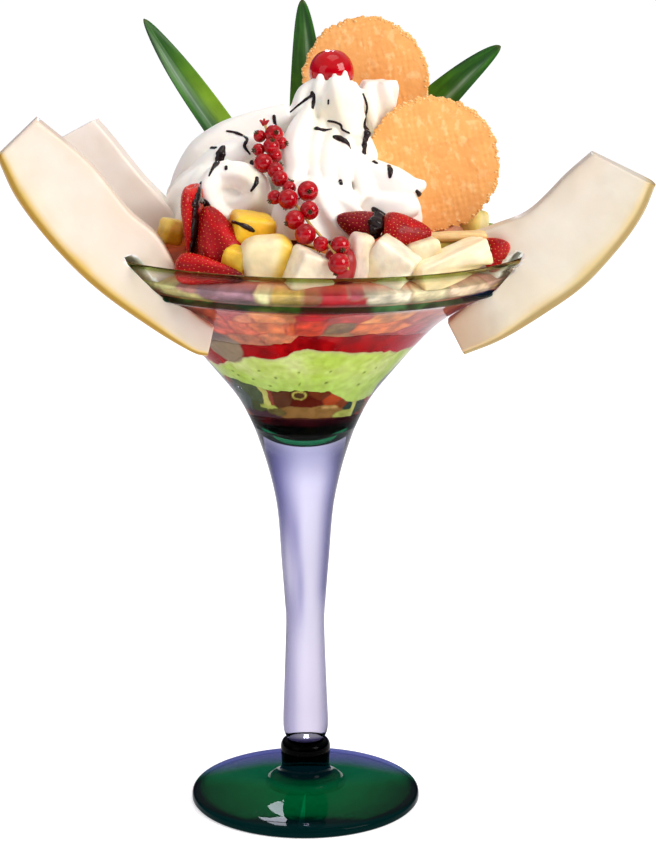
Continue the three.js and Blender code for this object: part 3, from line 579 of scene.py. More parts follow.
def sauce_look(angle, z, s, t):
    """Glossy red sauce, brighter in the middle."""
    red = blend((124, 6, 10), (188, 16, 20), streak(angle * 0.12, z * 0.16, 4))
    pink = blend(red, (196, 58, 84), 0.6 * ease(34, 60, angle))
    return 0.0, 0.0, with_date(pink, angle, z, s)


# Specks of herb in the cream that show at the glass: angle from the front and height.
SPECKS = [
    (-54, 199), (-38, 196.4), (-29, 201.3), (-3, 201.1), (17, 201.3), (16, 195.8), (46, 193.3), (69, 189.3),
    (52, 200.4), (-3, 195.3), (-26, 193.6), (-51, 197.3), (43, 199.3), (-19, 198.2),
]


def lime_look(angle, z, s, t):
    """Pale lime cream, whiter where it is aerated and greener below."""
    cream = blend((184, 210, 86), (214, 226, 144), streak(angle * 0.045, z * 0.09, 9))
    cream = blend(cream, (168, 204, 84), 0.5 * ease(203, 193, z))
    under = face_height("lime_top", 1, math.radians(angle - 90)) - z
    cream = blend((206, 190, 140), cream, ease(0.0, 1.6, under))
    if s == 1:
        across = math.radians(1) * hollow_radius(z)
        near = min(math.hypot((angle - a) * across, (z - h) * 1.5) for a, h in SPECKS)
        cream = blend((96, 112, 44), cream, ease(0.35, 0.9, near))
    return 0.0, 0.0, with_date(cream, angle, z, s)


def pool_look(angle, z, s, t):
    """Dark chocolate sauce, browner where it meets the fruit."""
    dark = blend((26, 2, 6), (84, 14, 16), streak(angle * 0.06, z * 0.22, 3) ** 2)
    return 0.0, 0.0, blend(dark, (120, 66, 40), 0.6 * ease(176.6, 178.4, z))


# Stewed fruit seen low in the bowl: angle from the front, height, width and height of each, and colour.
STEWED = [
    (-90, 186, 6, 5, (92, 104, 96)), (-67, 184.2, 4.2, 3.2, (90, 102, 92)),
    (-49, 188, 4.5, 3.4, (84, 96, 62)),
    (-51, 182.4, 4.7, 2.1, (80, 88, 46)), (-36, 187.3, 1.4, 4.5, (214, 212, 110)),
    (-40, 182.7, 4.1, 1, (190, 200, 90)),
    (-52, 178.9, 5.4, 1.2, (84, 56, 60)), (-29, 180.9, 3.4, 1, (112, 100, 52)),
    (-30, 187.6, 1, 3.3, (150, 74, 54)),
    (-21, 187.6, 3.8, 3.6, (96, 56, 34)), (-4, 189.6, 2.7, 2.1, (86, 60, 34)),
    (2, 186.2, 5, 2.3, (92, 30, 18)),
    (14, 189.8, 3.5, 2.1, (112, 52, 26)), (26, 187.3, 2.8, 2.3, (176, 72, 32)),
    (38, 183.8, 2.4, 1.7, (130, 60, 30)),
    (12, 181.8, 10.7, 1.8, (150, 110, 56)), (24, 182.9, 6.9, 0.8, (190, 152, 84)),
    (44, 179.8, 4.1, 1.2, (176, 184, 84)),
    (45, 182.2, 2.4, 1.9, (40, 60, 48)), (54, 182.2, 1.3, 3.1, (198, 202, 104)),
    (64, 181.8, 2.9, 2.7, (60, 70, 56)),
    (82, 180, 4, 3, (96, 66, 26)),
]
STEW_COLOURS = [(176, 84, 40), (120, 60, 34), (92, 104, 70), (172, 132, 66), (150, 40, 28)]
stewed = STEWED + mixed_chunks(3, 177, 192, 7, STEW_COLOURS, (-96, 90))


def stew_look(angle, z, s, t):
    """Stewed fruit pressed to the glass, with painted shade in the gaps and one pale ring of fruit at the
    front.
    """
    if s < 1:
        return 0.0, 0.0, (120, 66, 38)
    colour, gap = pressed(stewed, angle, z, 3.4)
    ring = math.hypot((angle + 4) / 5.6, (z - 189.4) / 1.9)
    colour = blend((196, 186, 84), colour, ease(0.10, 0.26, abs(ring - 1)))
    light = 0.35 + ease(0, 0.25, gap) * 0.4 + streak(angle * 0.1, z * 0.3, 6) * 0.5
    colour = blend(tuple(c * 0.55 for c in colour), colour, min(1, light))
    return GAP_DEPTH * ease(0.2, 0.0, gap), 0.0, colour


MOIST = [(0.3, (226, 222, 218)), (0.7, (255, 255, 255))]
LAYERS = [
    ("chocolate_sauce_pool", "chocolate_pool", "chocolate", "pool_bottom", "pool_top", 18, pool_look, 0.2),
    ("stewed_fruit_layer", "base_fruit", "mixed_fruit", "pool_top", "fruit_top", 22, stew_look, 0.3),
    ("lime_cream_layer", "lime_cream", "lime_cream", "fruit_top", "lime_top", 26, lime_look, 0.45),
    ("red_sauce_layer", "red_sauce", "red_sauce", "lime_top", "sauce_top", 12, sauce_look, 0.15),
]
for name, node, slot, low, high, wall_steps, look, roughness in LAYERS:
    moist = finish_of(name + "_finish", MOIST, 300, roughness, "flesh", Specular_IOR_Level=0.0)
    spots, faces, flesh = layer_mesh(low, high, wall_steps, 4, look)
    layer = piece_of(name, spots, faces, moist, flesh)
    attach(layer, "root")
    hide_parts(node)

# The melon wedges
# Three thin wedges of pale melon with their rind on, each split lengthwise and hung over the glass, so that
# the wall sits in the split. They are cut by a ring of the wall's own shape with room round it.


def box_grid(nx, ny, nz):
    """A closed box of small faces: spots from -1 to 1 on each axis, and faces that point outwards."""
    numbers, spots, faces, counts = {}, [], [], (nx, ny, nz)
    for axis in range(3):
        a, b = (axis + 1) % 3, (axis + 2) % 3
        for side in (0, counts[axis]):
            for i in range(counts[a]):
                for j in range(counts[b]):
                    face = []
                    for di, dj in ((0, 0), (1, 0), (1, 1), (0, 1)):
                        key = [0, 0, 0]
                        key[axis], key[a], key[b] = side, i + di, j + dj
                        if tuple(key) not in numbers:
                            numbers[tuple(key)] = len(spots)
                            spots.append(tuple(2 * k / n - 1 for k, n in zip(key, counts)))
                        face.append(numbers[tuple(key)])
                    faces.append(face if side else face[::-1])
    return spots, faces


def outward(spots, faces):
    """The faces, turned over if they face into the closed shape."""
    at = [Vector(spot) for spot in spots]
    volume = sum(at[f[0]].dot(at[f[k]].cross(at[f[k + 1]])) for f in faces for k in range(1, len(f) - 1))
    return faces if volume > 0 else [f[::-1] for f in faces]


def settled(thing, *modifiers):
    """The object's mesh as its modifiers make it: it becomes a plain mesh, and the modifiers go."""
    for kind, settings in modifiers:
        modifier = thing.modifiers.new(kind.lower(), kind)
        for key, value in settings.items():
            setattr(modifier, key, value)
    bpy.context.view_layer.update()
    made = bpy.data.meshes.new_from_object(thing.evaluated_get(bpy.context.evaluated_depsgraph_get()))
    thing.modifiers.clear()
    thing.data = made
    made.polygons.foreach_set("use_smooth", [True] * len(made.polygons))
    return thing


# Each wedge: depth, thickness and turn, its rind and inner edges as x and z, the colours of its rind and of
# the flesh beside it, how much painted shade darkens its lower end, and a colour with its share in the flesh,
# which is painted light on the two left wedges and painted shade on the right one.
MELONS = {
    "melon_front_left": (
        -63, 20, 4,
        [(-119.2, 295), (-111, 277), (-96, 257), (-80, 241), (-60, 226), (-45, 216.4), (-38.6, 214.6)],
        [(-104.5, 309), (-84, 291), (-69, 272), (-58, 262), (-51, 249), (-47, 234.5), (-36, 225)],
        (163, 124, 20), (216, 178, 56), 0.0, (255, 255, 255), 0.16,
    ),
    "melon_back_left": (
        -24, 18, -5,
        [(-107, 292), (-108, 279), (-101, 262), (-88, 243), (-74, 229), (-62, 220), (-58, 218)],
        [(-85, 304), (-78, 296), (-65, 280), (-54, 268), (-46, 254), (-46, 238), (-54, 226)],
        (166, 138, 84), (206, 180, 118), 0.1, (255, 255, 255), 0.5,
    ),
    "melon_right": (
        -36, 20, -3,
        [(141.2, 280), (136.5, 268), (128, 255), (114, 239), (98, 227), (81, 216.4), (66, 210)],
        [(117, 292), (107, 283), (92, 268), (76, 261), (62, 254), (71, 236), (59.4, 222)],
        (156, 134, 80), (202, 178, 120), 0.65, (212, 212, 198), 0.5,
    ),
}
SPLIT_ROOM = 0.4
MELON_MIDDLE = 85
FLESH_STOPS = [(0.1, (226, 208, 174)), (0.3, (228, 212, 190)), (0.75, (229, 211, 193)), (1, (224, 203, 180))]

wall_outside = [(r + SPLIT_ROOM, z) for z, r in OUTER_LINE if z > 200]
wall_lip = [(RIM_RADIUS + 1.2, 253), (RIM_RADIUS - 1, 254), (RIM_RADIUS - 3, 252.5)]
wall_inside = [(hollow_radius(z) - 0.8, z) for z in range(246, 200, -3)]
spots, faces = turned(wall_outside + wall_lip + wall_inside + wall_outside[:1], 120, round_spot)
melon_finish = finish_of(
    "melon_flesh", [(0.3, (250, 246, 240)), (0.7, (255, 255, 255))], 60, 0.34, "flesh", bump=0.12,
    bump_scale=420, Subsurface_Weight=0.1, Subsurface_Scale=0.004, Specular_IOR_Level=0.35,
)
splitter = piece_of("wall_ring", spots, faces, melon_finish, [linear(250, 238, 216)] * len(spots))
settled(splitter, ("WELD", dict(merge_threshold=0.00001)))

melon_spots, melon_faces = box_grid(14, 26, 90)
for node, (y, thickness, yaw, rind, inner, rind_colour, beside, lower_end_painted_shade, pale, share) in MELONS.items():
    outside, inside = flowing(rind, 15), flowing(inner, 15)
    middle = MELON_MIDDLE * (1 if rind[0][0] > 0 else -1)
    turn = math.radians(yaw)
    shaped, flesh = [], []
    for across, depth, far in melon_spots:
        depth = (depth + 1) / 2
        k = min(len(outside) - 1, round((far + 1) / 2 * (len(outside) - 1)))
        out, inn = Vector(outside[k]), Vector(inside[k])
        way = (out - inn).normalized()
        rounded = 1 - 0.16 * abs(across) ** 3 * ease(0.12, 0.0, depth) - 0.10 * ease(0.93, 1.0, depth)
        spot = out.lerp(inn, depth) + way * (1.7 * (1 - across * across) * ease(0.3, 0, depth))
        uneven = noise.fractal(Vector((spot.x, y + across * 9, spot.y)) / 16, 0.8, 2.0, 3)
        side = across * mix(thickness / 2, thickness / 3.4, depth) * rounded
        side += 0.5 * uneven * (1 if abs(across) == 1 else 0)
        x, z = spot.x - middle, spot.y
        turned_x = x * math.cos(turn) - side * math.sin(turn)
        turned_y = x * math.sin(turn) + side * math.cos(turn)
        shaped.append((middle + turned_x, y + turned_y, z))
        # A share of a flat colour: painted light on the two left wedges, painted shade on the right one.
        colour = blend(tint_at(FLESH_STOPS, depth + 0.05 * uneven), linear(*pale), share)
        colour = blend(linear(*beside), colour, ease(0.04, 0.17, depth + 0.02 * uneven))
        # Painted shade darkens the lower end.
        colour = blend(colour, linear(186, 152, 112), lower_end_painted_shade * ease(0.74, 1.0, (far + 1) / 2))
        skin = ease(0.07, 0.03, depth)
        flesh.append(blend(colour, linear(*rind_colour), skin))
    wedge = piece_of(node + "_wedge", shaped, outward(shaped, melon_faces), melon_finish, flesh)
    settled(wedge, ("BOOLEAN", dict(operation="DIFFERENCE", solver="EXACT", object=splitter)))
    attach(wedge, "root")
    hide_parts(node)
bpy.data.objects.remove(splitter)

# The fruit salad
# Cut fruit fills the bowl to its rim. The pieces at the wall are pressed flat against the glass, with red
# syrup between them, and more pieces lie loose on top, all round under the cream.

RED, ORANGE, YELLOW, PALE = (196, 24, 34), (228, 128, 58), (240, 182, 34), (246, 230, 190)
# Fruit seen through the glass: angle from the front, height, width and height of each, and colour.
SEEN_FRUIT = [
    (-62, 244, 12, 6, (226, 214, 160)), (-48, 243, 8, 5, (222, 220, 150)),
    (-38, 244.7, 6.4, 2.5, (224, 220, 150)),
    (-30, 243.6, 4.4, 3, (206, 140, 130)), (-20, 242.7, 12.5, 4.6, (160, 118, 132)),
    (-32, 238.4, 8.9, 2.6, (206, 192, 128)),
    (-10, 243.8, 3.8, 4.6, (230, 216, 164)), (-4, 243.3, 6.3, 5.7, (210, 178, 92)),
    (3, 241.3, 4.2, 3.6, (150, 92, 62)),
    (9, 240.9, 10.6, 5.1, (200, 28, 44)), (13, 242.4, 3.9, 3.1, (212, 84, 104)),
    (23, 243.8, 10.9, 5.1, (236, 224, 198)),
    (34, 243.1, 9.2, 4, (228, 214, 172)), (48, 243.3, 11.2, 3.4, (232, 204, 174)),
    (59, 244.4, 8.2, 2.3, (226, 176, 160)),
    (72, 244, 12, 6, (232, 190, 130)), (-66, 232, 12, 7, (214, 150, 120)), (-47, 233, 12, 6, (216, 152, 128)),
    (-36, 227.8, 2.6, 2.4, (226, 190, 160)), (-30, 232.6, 4.4, 3, (222, 124, 104)),
    (-23, 232.2, 5.9, 3.1, (206, 84, 92)),
    (-20, 230, 4.9, 2.7, (232, 162, 132)), (-35, 224.4, 7.7, 3, (214, 108, 98)),
    (-23, 224.2, 4.6, 2.9, (216, 120, 96)),
    (-10, 230.4, 9.4, 3.2, (234, 162, 102)), (-12, 225.4, 8.6, 2.6, (228, 140, 88)),
    (-5, 225.8, 2.5, 3, (222, 112, 52)),
    (-25, 216.9, 6.5, 2.5, (186, 126, 104)), (-10, 218.2, 6.8, 2.7, (210, 146, 116)),
    (3, 231.3, 6.3, 1.8, (194, 22, 38)),
    (3, 226.7, 6.3, 3.7, (216, 78, 44)), (14, 230.5, 8.6, 1.8, (192, 72, 70)),
    (13, 225.1, 5.2, 3.3, (132, 118, 90)),
    (14, 221.1, 5.2, 1.6, (172, 142, 116)), (32, 224, 13.3, 3.4, (232, 142, 80)),
    (28, 229.8, 8.1, 2.3, (238, 172, 104)),
    (32, 219.4, 9.4, 1.4, (170, 44, 50)), (47, 228, 10, 4, (200, 122, 118)), (62, 226, 9, 5, (188, 104, 118)),
    (50, 221, 9, 3, (190, 80, 100)), (72, 219, 10, 4, (176, 100, 130)),
    (48, 235.6, 6.3, 2.2, (214, 160, 140)),
    (78, 231, 12, 7, (206, 110, 106)),
]
FRUIT_COLOURS = [RED, ORANGE, YELLOW, PALE, PALE, (222, 120, 86), (206, 64, 70), (238, 208, 130),
                 (214, 150, 120)]
seen_fruit = SEEN_FRUIT + mixed_chunks(8, 218, 244, 11, FRUIT_COLOURS, (-78, 86))


def salad_look(angle, z, s, t):
    """Fruit pressed to the glass with syrup in the gaps and painted shade beside them, warmer below the
    ring. On top it is wet and dark.
    """
    if s < 1:
        return 0.0, 0.0, (206, 96, 60)
    colour, gap = pressed(seen_fruit, angle, z, 8)
    shade = 0.74 + 0.45 * streak(angle * 0.16, z * 0.2, 2) * ease(-0.1, 0.4, gap)
    syrup = (178, 44, 44) if z < 237 else (200, 156, 116)
    colour = blend(syrup, tuple(c * shade for c in colour), 0.45 + 0.55 * ease(0.0, 0.16, gap))
    warm = blend((1.04, 0.88, 0.72), (1, 1, 1), ease(235, 240, z))
    colour = tuple(min(255, c * k) for c, k in zip(colour, warm))
    return GAP_DEPTH * ease(0.16, 0.0, gap), 0.0, with_date(colour, angle, z, s)


def euler_of(degrees):
    """A turn about x, then y, then z."""
    return Euler([math.radians(d) for d in degrees], "XYZ").to_matrix()


def cut_fruit(grid, size, centre, degrees, colour, seed, square=5.0, second_tint_and_light=None, fade=None):
    """One cut piece: a box with rounded edges and an uneven surface, mottled in its colour."""
    turn, shaped, flesh = euler_of(degrees), [], []
    for spot in grid[0]:
        way = Vector(spot).normalized()
        reach = sum(abs(c) ** square for c in way) ** (-1 / square)
        uneven = noise.fractal(way * 1.3 + Vector((seed, 0, 0)), 0.9, 2.1, 4)
        local = way * reach * (1 + 0.04 * uneven)
        at = turn @ Vector(c * s / 2 for c, s in zip(local, size)) + Vector(centre)
        shaped.append(inside_glass(tuple(at)))
        tone = 0.93 + 0.14 * streak(*(way * 1.6 + Vector((0, seed, 0))))
        # The second colour fades in along the way: mostly painted light on top and painted shade underneath.
        shown = colour if not second_tint_and_light else blend(colour, second_tint_and_light, ease(-0.2, 0.35, local.dot(Vector(fade))))
        flesh.append(linear(*(min(255, c * tone) for c in shown)))
    return shaped, grid[1], flesh


def joined(parts):
    """Several shapes as one: each is spots, faces and colours."""
    spots, faces, flesh = [], [], []
    for more, their_faces, their_flesh in parts:
        faces += [[k + len(spots) for k in face] for face in their_faces]
        spots += more
        flesh += their_flesh
    return spots, faces, flesh


rng = random.Random(21)
loose = [layer_mesh("sauce_top", "salad_top", 44, 10, salad_look)]
coarse_box = box_grid(9, 9, 9)
# The two rows of loose pieces: how far out and how high each lies.
ROWS, IN_ROW = ((76, 244.5), (58, 249)), 32
for k in range(len(ROWS) * IN_ROW):
    row = k // IN_ROW
    far, high = ROWS[row]
    angle = 2 * math.pi * (k % IN_ROW + rng.uniform(-0.3, 0.3)) / IN_ROW
    reach = far + rng.uniform(-4, 4)
    size = [rng.uniform(13, 19), rng.uniform(11, 15), rng.uniform(11, 14)]
    centre = round_spot(reach, high + rng.uniform(-1.5, 1.5), angle)
    degrees = [rng.uniform(-25, 25), rng.uniform(-25, 25), rng.uniform(0, 180)]
    piece = cut_fruit(coarse_box, size, centre, degrees, rng.choice(FRUIT_COLOURS), k * 3.7,
                      rng.choice((3, 5, 7)))
    if row or not -52 < front_angle(angle) < 64:
        loose.append(piece)
wet = finish_of(
    "wet_mixed_fruit", [(0.3, (224, 218, 212)), (0.65, (255, 255, 255))], 220, 0.3, "flesh", bump=0.2,
    bump_scale=700, Subsurface_Weight=0.08, Subsurface_Scale=0.003, Specular_IOR_Level=0.4,
)
spots, faces, flesh = joined(loose)
salad = piece_of("fruit_salad_heap", spots, faces, wet, flesh)
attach(salad, "root")
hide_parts("fruit_salad")

# Cut fruit on top
# Pieces of banana, pear, melon, pineapple, plum and peach set round the front and the back of the heap. Each
# is cut with a knife, so it has flat sides, and its edges are softened by juice.

# Each: its size, centre, turn, colour, squareness, slot, and a second colour that fades in along a way. The
# second colour is mostly painted light on tops and painted shade underneath; the yellow sides of pear_chunk
# and pear_back are their own colour.
CUTS = {
    "yellow_chunk": ((16, 14, 16), (-20.7, -59, 261.6), (10, 8, 18), (236, 176, 10), 7, "yellow_fruit",
                     (246, 198, 50), (0.2, -0.5, 0.9)),
    "yellow_low": ((10, 10, 14), (-26.3, -72, 251.6), (8, 14, -20), (232, 162, 16), 4.5, "yellow_fruit",
                   (246, 200, 60), (0, 0, 1)),
    "yellow_small": ((8, 9, 10), (-53.4, -48, 261.2), (0, 12, 30), (212, 164, 30), 5, "yellow_fruit",
                     (252, 220, 110), (0, 0, 1)),
    "pear_chunk": ((20, 15, 19), (-13.7, -72, 253.2), (8, -6, 10), (246, 230, 190), 3.6, "pale_fruit",
                   (242, 198, 60), (1, 0.2, -0.4)),
    "banana_cube": ((16, 13, 15), (3, -79, 250), (12, 22, 24), (248, 236, 216), 10, "pale_fruit",
                    (240, 224, 196), (0.3, 0, -1)),
    "plum_piece": ((12, 11, 15), (14.5, -76, 251.5), (0, 10, 0), (122, 14, 22), 3, "plum", (164, 24, 30),
                   (0, -0.5, 1)),
    "pear_piece": ((9, 13, 18), (22.5, -71, 254.5), (0, 8, 12), (236, 216, 206), 4.5, "pale_fruit",
                   (246, 226, 200), (1, 0, 0.5)),
    "melon_cube": ((17, 14, 15), (34.5, -72, 252), (4, 34, -14), (250, 238, 218), 14, "pale_fruit",
                   (240, 220, 178), (-0.6, 0.3, -0.6)),
    "pear_behind": ((13, 12, 12), (47.6, -61, 253.8), (0, -12, 20), (240, 224, 190), 6, "pale_fruit",
                    (238, 214, 160), (0.5, 0, -1)),
    "melon_stick": ((32, 11, 11), (58.6, -64, 250.4), (0, -17, 33), (250, 234, 204), 14, "pale_fruit",
                    (244, 222, 176), (-0.4, 0, -1)),
    "pineapple_chunk": ((20, 12, 10), (63, -46, 254.4), (0, -2, 8), (206, 184, 92), 7, "olive_fruit",
                        (120, 98, 34), (0, 0, -1)),
    "wafer_strip": ((22, 5, 3.2), (62, -52, 260), (8, -2, 2), (232, 200, 146), 5, "wafer", (200, 150, 80),
                    (0, 0, -1)),
    "yellow_back": ((20, 16, 16), (24, 62, 257), (10, 20, 15), YELLOW, 4.5, "yellow_fruit", (252, 214, 96),
                    (0, 0, 1)),
    "pear_back": ((20, 17, 16), (-38, 58, 256), (0, 15, -30), PALE, 3.2, "pale_fruit", (238, 208, 130),
                  (1, 0, 0)),
    "pear_left": ((20, 15, 15), (-62, 16, 256), (5, -14, 80), PALE, 5, "pale_fruit", (250, 240, 214),
                  (0, 0, 1)),
    "pineapple_back": ((18, 13, 14), (70, 12, 254), (0, 10, 70), (212, 190, 96), 6, "olive_fruit",
                       (236, 216, 130), (0, 0, 1)),
    "yellow_back_left": ((15, 14, 14), (-60, 42, 254), (0, 20, 50), YELLOW, 4.5, "yellow_fruit",
                         (252, 214, 96), (0, 0, 1)),
}
juicy = finish_of(
    "juicy_cut_fruit", [(0.3, (252, 242, 226)), (0.7, (255, 255, 252))], 130, 0.34, "flesh", bump=0.25,
    bump_scale=500, Subsurface_Weight=0.3, Subsurface_Scale=0.006, Specular_IOR_Level=0.4,
)
fine_box = box_grid(18, 18, 18)
ROUNDING = 1.07
for k, (node, (size, centre, degrees, colour, square, slot, second_tint_and_light, fade)) in enumerate(CUTS.items()):
    grown = [s * ROUNDING for s in size]
    spots, faces, flesh = cut_fruit(fine_box, grown, centre, degrees, colour, k * 5.3, square, second_tint_and_light, fade)
    cut = piece_of(node + "_cut", spots, faces, juicy, flesh)
    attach(cut, "root")
    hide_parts(node)

# The strawberries
# Halved and whole strawberries with their stalks cut off. A small set of nodes scatters the seeds over each
# berry, presses a dimple round each seed and turns the seeds to lie on the skin.


def scatter_tree(name, made_of, grain_shape):
    """Nodes that scatter grains over a mesh and dent it round each, with their sizes as inputs."""
    tree = bpy.data.node_groups.new(name, "GeometryNodeTree")
    face = tree.interface
    face.new_socket("Geometry", in_out="INPUT", socket_type="NodeSocketGeometry")
    face.new_socket("Geometry", in_out="OUTPUT", socket_type="NodeSocketGeometry")
    for label in ("Spacing", "Grain size", "Dent depth", "Dent width"):
        face.new_socket(label, in_out="INPUT", socket_type="NodeSocketFloat")
    face.new_socket("Seed", in_out="INPUT", socket_type="NodeSocketInt")
    new, link = tree.nodes.new, tree.links.new
    given, result = new("NodeGroupInput"), new("NodeGroupOutput")
    spread = new("GeometryNodeDistributePointsOnFaces")
    spread.distribute_method = "POISSON"
    spread.inputs["Density Max"].default_value = 5e6
    where = new("GeometryNodeInputNamedAttribute")
    where.inputs["Name"].default_value = "grains"
    link(where.outputs["Attribute"], spread.inputs["Density Factor"])
    link(given.outputs["Geometry"], spread.inputs["Mesh"])
    link(given.outputs["Spacing"], spread.inputs["Distance Min"])
    link(given.outputs["Seed"], spread.inputs["Seed"])
    near = new("GeometryNodeProximity")
    near.target_element = "POINTS"
    link(spread.outputs["Points"], near.inputs["Geometry"])
    depth = new("ShaderNodeMapRange")
    depth.interpolation_type = "SMOOTHSTEP"
    link(near.outputs["Distance"], depth.inputs["Value"])
    link(given.outputs["Dent width"], depth.inputs["From Max"])
    link(given.outputs["Dent depth"], depth.inputs["To Min"])
    depth.inputs["To Max"].default_value = 0.0
    normal, inward = new("GeometryNodeInputNormal"), new("ShaderNodeVectorMath")
    dent = new("GeometryNodeSetPosition")
    inward.operation = "SCALE"
    link(normal.outputs[0], inward.inputs[0])
    link(depth.outputs["Result"], inward.inputs["Scale"])
    link(given.outputs["Geometry"], dent.inputs["Geometry"])
    link(inward.outputs[0], dent.inputs["Offset"])
    grain_node, size = new("GeometryNodeMeshIcoSphere"), new("GeometryNodeTransform")
    grain_node.inputs["Radius"].default_value = 1.0
    grain_node.inputs["Subdivisions"].default_value = 2
    size.inputs["Scale"].default_value = grain_shape
    link(grain_node.outputs["Mesh"], size.inputs["Geometry"])
    uneven = new("FunctionNodeRandomValue")
    uneven.inputs[2].default_value, uneven.inputs[3].default_value = 0.7, 1.25
    scale = new("ShaderNodeMath")
    scale.operation = "MULTIPLY"
    link(uneven.outputs[1], scale.inputs[0])
    link(given.outputs["Grain size"], scale.inputs[1])
    place, whole = new("GeometryNodeInstanceOnPoints"), new("GeometryNodeRealizeInstances")
    paint = new("GeometryNodeSetMaterial")
    link(spread.outputs["Points"], place.inputs["Points"])
    link(size.outputs["Geometry"], place.inputs["Instance"])
    link(spread.outputs["Rotation"], place.inputs["Rotation"])
    link(scale.outputs[0], place.inputs["Scale"])
    link(place.outputs["Instances"], whole.inputs["Geometry"])
    paint.inputs["Material"].default_value = made_of
    link(whole.outputs["Geometry"], paint.inputs["Geometry"])
    join = new("GeometryNodeJoinGeometry")
    link(dent.outputs["Geometry"], join.inputs["Geometry"])
    link(paint.outputs["Geometry"], join.inputs["Geometry"])
    link(join.outputs["Geometry"], result.inputs["Geometry"])
    return tree


def scattered(thing, tree, amounts, share=None):
    """The object with the tree's grains on it, as a plain mesh; share is how many grains each spot takes."""
    where = thing.data.attributes.new("grains", "FLOAT", "POINT")
    where.data.foreach_set("value", share or [1.0] * len(thing.data.vertices))
    modifier = thing.modifiers.new(tree.name, "NODES")
    modifier.node_group = tree
    for socket in tree.interface.items_tree:
        if socket.in_out == "INPUT" and socket.name in amounts:
            modifier[socket.identifier] = amounts[socket.name]
    return settled(thing)


# Each berry: its centre, length, width, turn and how flat it is cut.
STRAWBERRIES = {
    "strawberry_slice": ((-44, -57, 264.5), 33, 26, (180, 0, 80), 0.28),
    "strawberry_left": ((-34.3, -62, 261.6), 25, 20, (-6, -20, 0), 1.0),
    "strawberry_rim": ((-36, -76, 249.6), 28, 12.5, (0, 96, -20), 1.0),
    "strawberry_dull": ((21.5, -56, 265.5), 17, 14, (20, -70, -15), 1.0),
    "strawberry_bright": ((41.6, -58, 262.2), 19.5, 16.5, (0, 92, 4), 1.0),
    "strawberry_right": ((77.3, -45, 251), 13, 12.5, (20, 190, 0), 1.0),
    "strawberry_back": ((-8, 66, 259), 28, 20, (30, 80, 40), 1.0),
    "strawberry_back_right": ((60, 44, 257), 26, 19, (10, 70, -50), 1.0),
}
BERRY_LINE = flowing(
    [(0, 0), (0.2, 0.02), (0.42, 0.13), (0.68, 0.36), (0.9, 0.62), (0.985, 0.8), (0.9, 0.93), (0.6, 1.0),
     (0.25, 0.97), (0, 0.95)], 6
)
berry_skin = finish_of(
    "strawberry_skin", [(0.3, (232, 206, 200)), (0.7, (255, 255, 255))], 170, 0.36, "flesh", bump=0.15,
    Subsurface_Weight=0.08, Subsurface_Scale=0.002, Specular_IOR_Level=0.2,
)
seed_finish = finish_of("strawberry_seed", [(0.3, (206, 104, 34)), (0.7, (244, 170, 86))], 900, 0.3)
seed_nodes = scatter_tree("strawberry_seeds", seed_finish, (0.62, 0.42, 0.3))
for k, (node, (centre, length, width, degrees, flat)) in enumerate(STRAWBERRIES.items()):
    turn, flesh = euler_of(degrees), []

    def berry_spot(s, t, around):
        uneven = noise.noise(Vector((math.cos(around), math.sin(around), t * 3 + k)))
        lobes = 1 + 0.035 * math.cos(around * 3 + k) + 0.03 * uneven
        r = s * lobes * width / 2
        local = Vector((r * math.cos(around), flat * r * math.sin(around), (0.5 - t) * length))
        red = blend((204, 4, 16), (140, 2, 12), streak(around, t * 2, k))
        red = blend(red, (226, 96, 70), 0.6 * ease(0.9, 1.02, t))
        # The rim berry is painted darker towards its tip: painted shade on its lower edge.
        if node == "strawberry_rim":
            red = blend((92, 2, 22), red, ease(0.0, 0.3, t))
        if node == "strawberry_dull":
            red = blend(red, (110, 4, 26), 0.6)
        flesh.append(linear(*red))
        return inside_glass(tuple(turn @ local + Vector(centre)))

    profile = [(max(0.0, s) if 0 < i < len(BERRY_LINE) - 1 else 0, t) for i, (s, t) in enumerate(BERRY_LINE)]
    spots, faces = turned(profile, 72, berry_spot)
    berry = piece_of(node + "_berry", spots, outward(spots, faces), berry_skin, flesh)
    berry_sizes = {"Spacing": 0.0015, "Grain size": 0.00037, "Dent depth": -0.00045, "Dent width": 0.0008,
                   "Seed": k}
    scattered(berry, seed_nodes, berry_sizes)
    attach(berry, "root")
    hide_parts(node)

# The wafers
# Two thin round biscuits, pressed with a fine square grid and baked golden, with a ragged crumbled edge.
# They stand upright in the cream. The same kind of nodes as for the seeds strews crumbs round the edge.

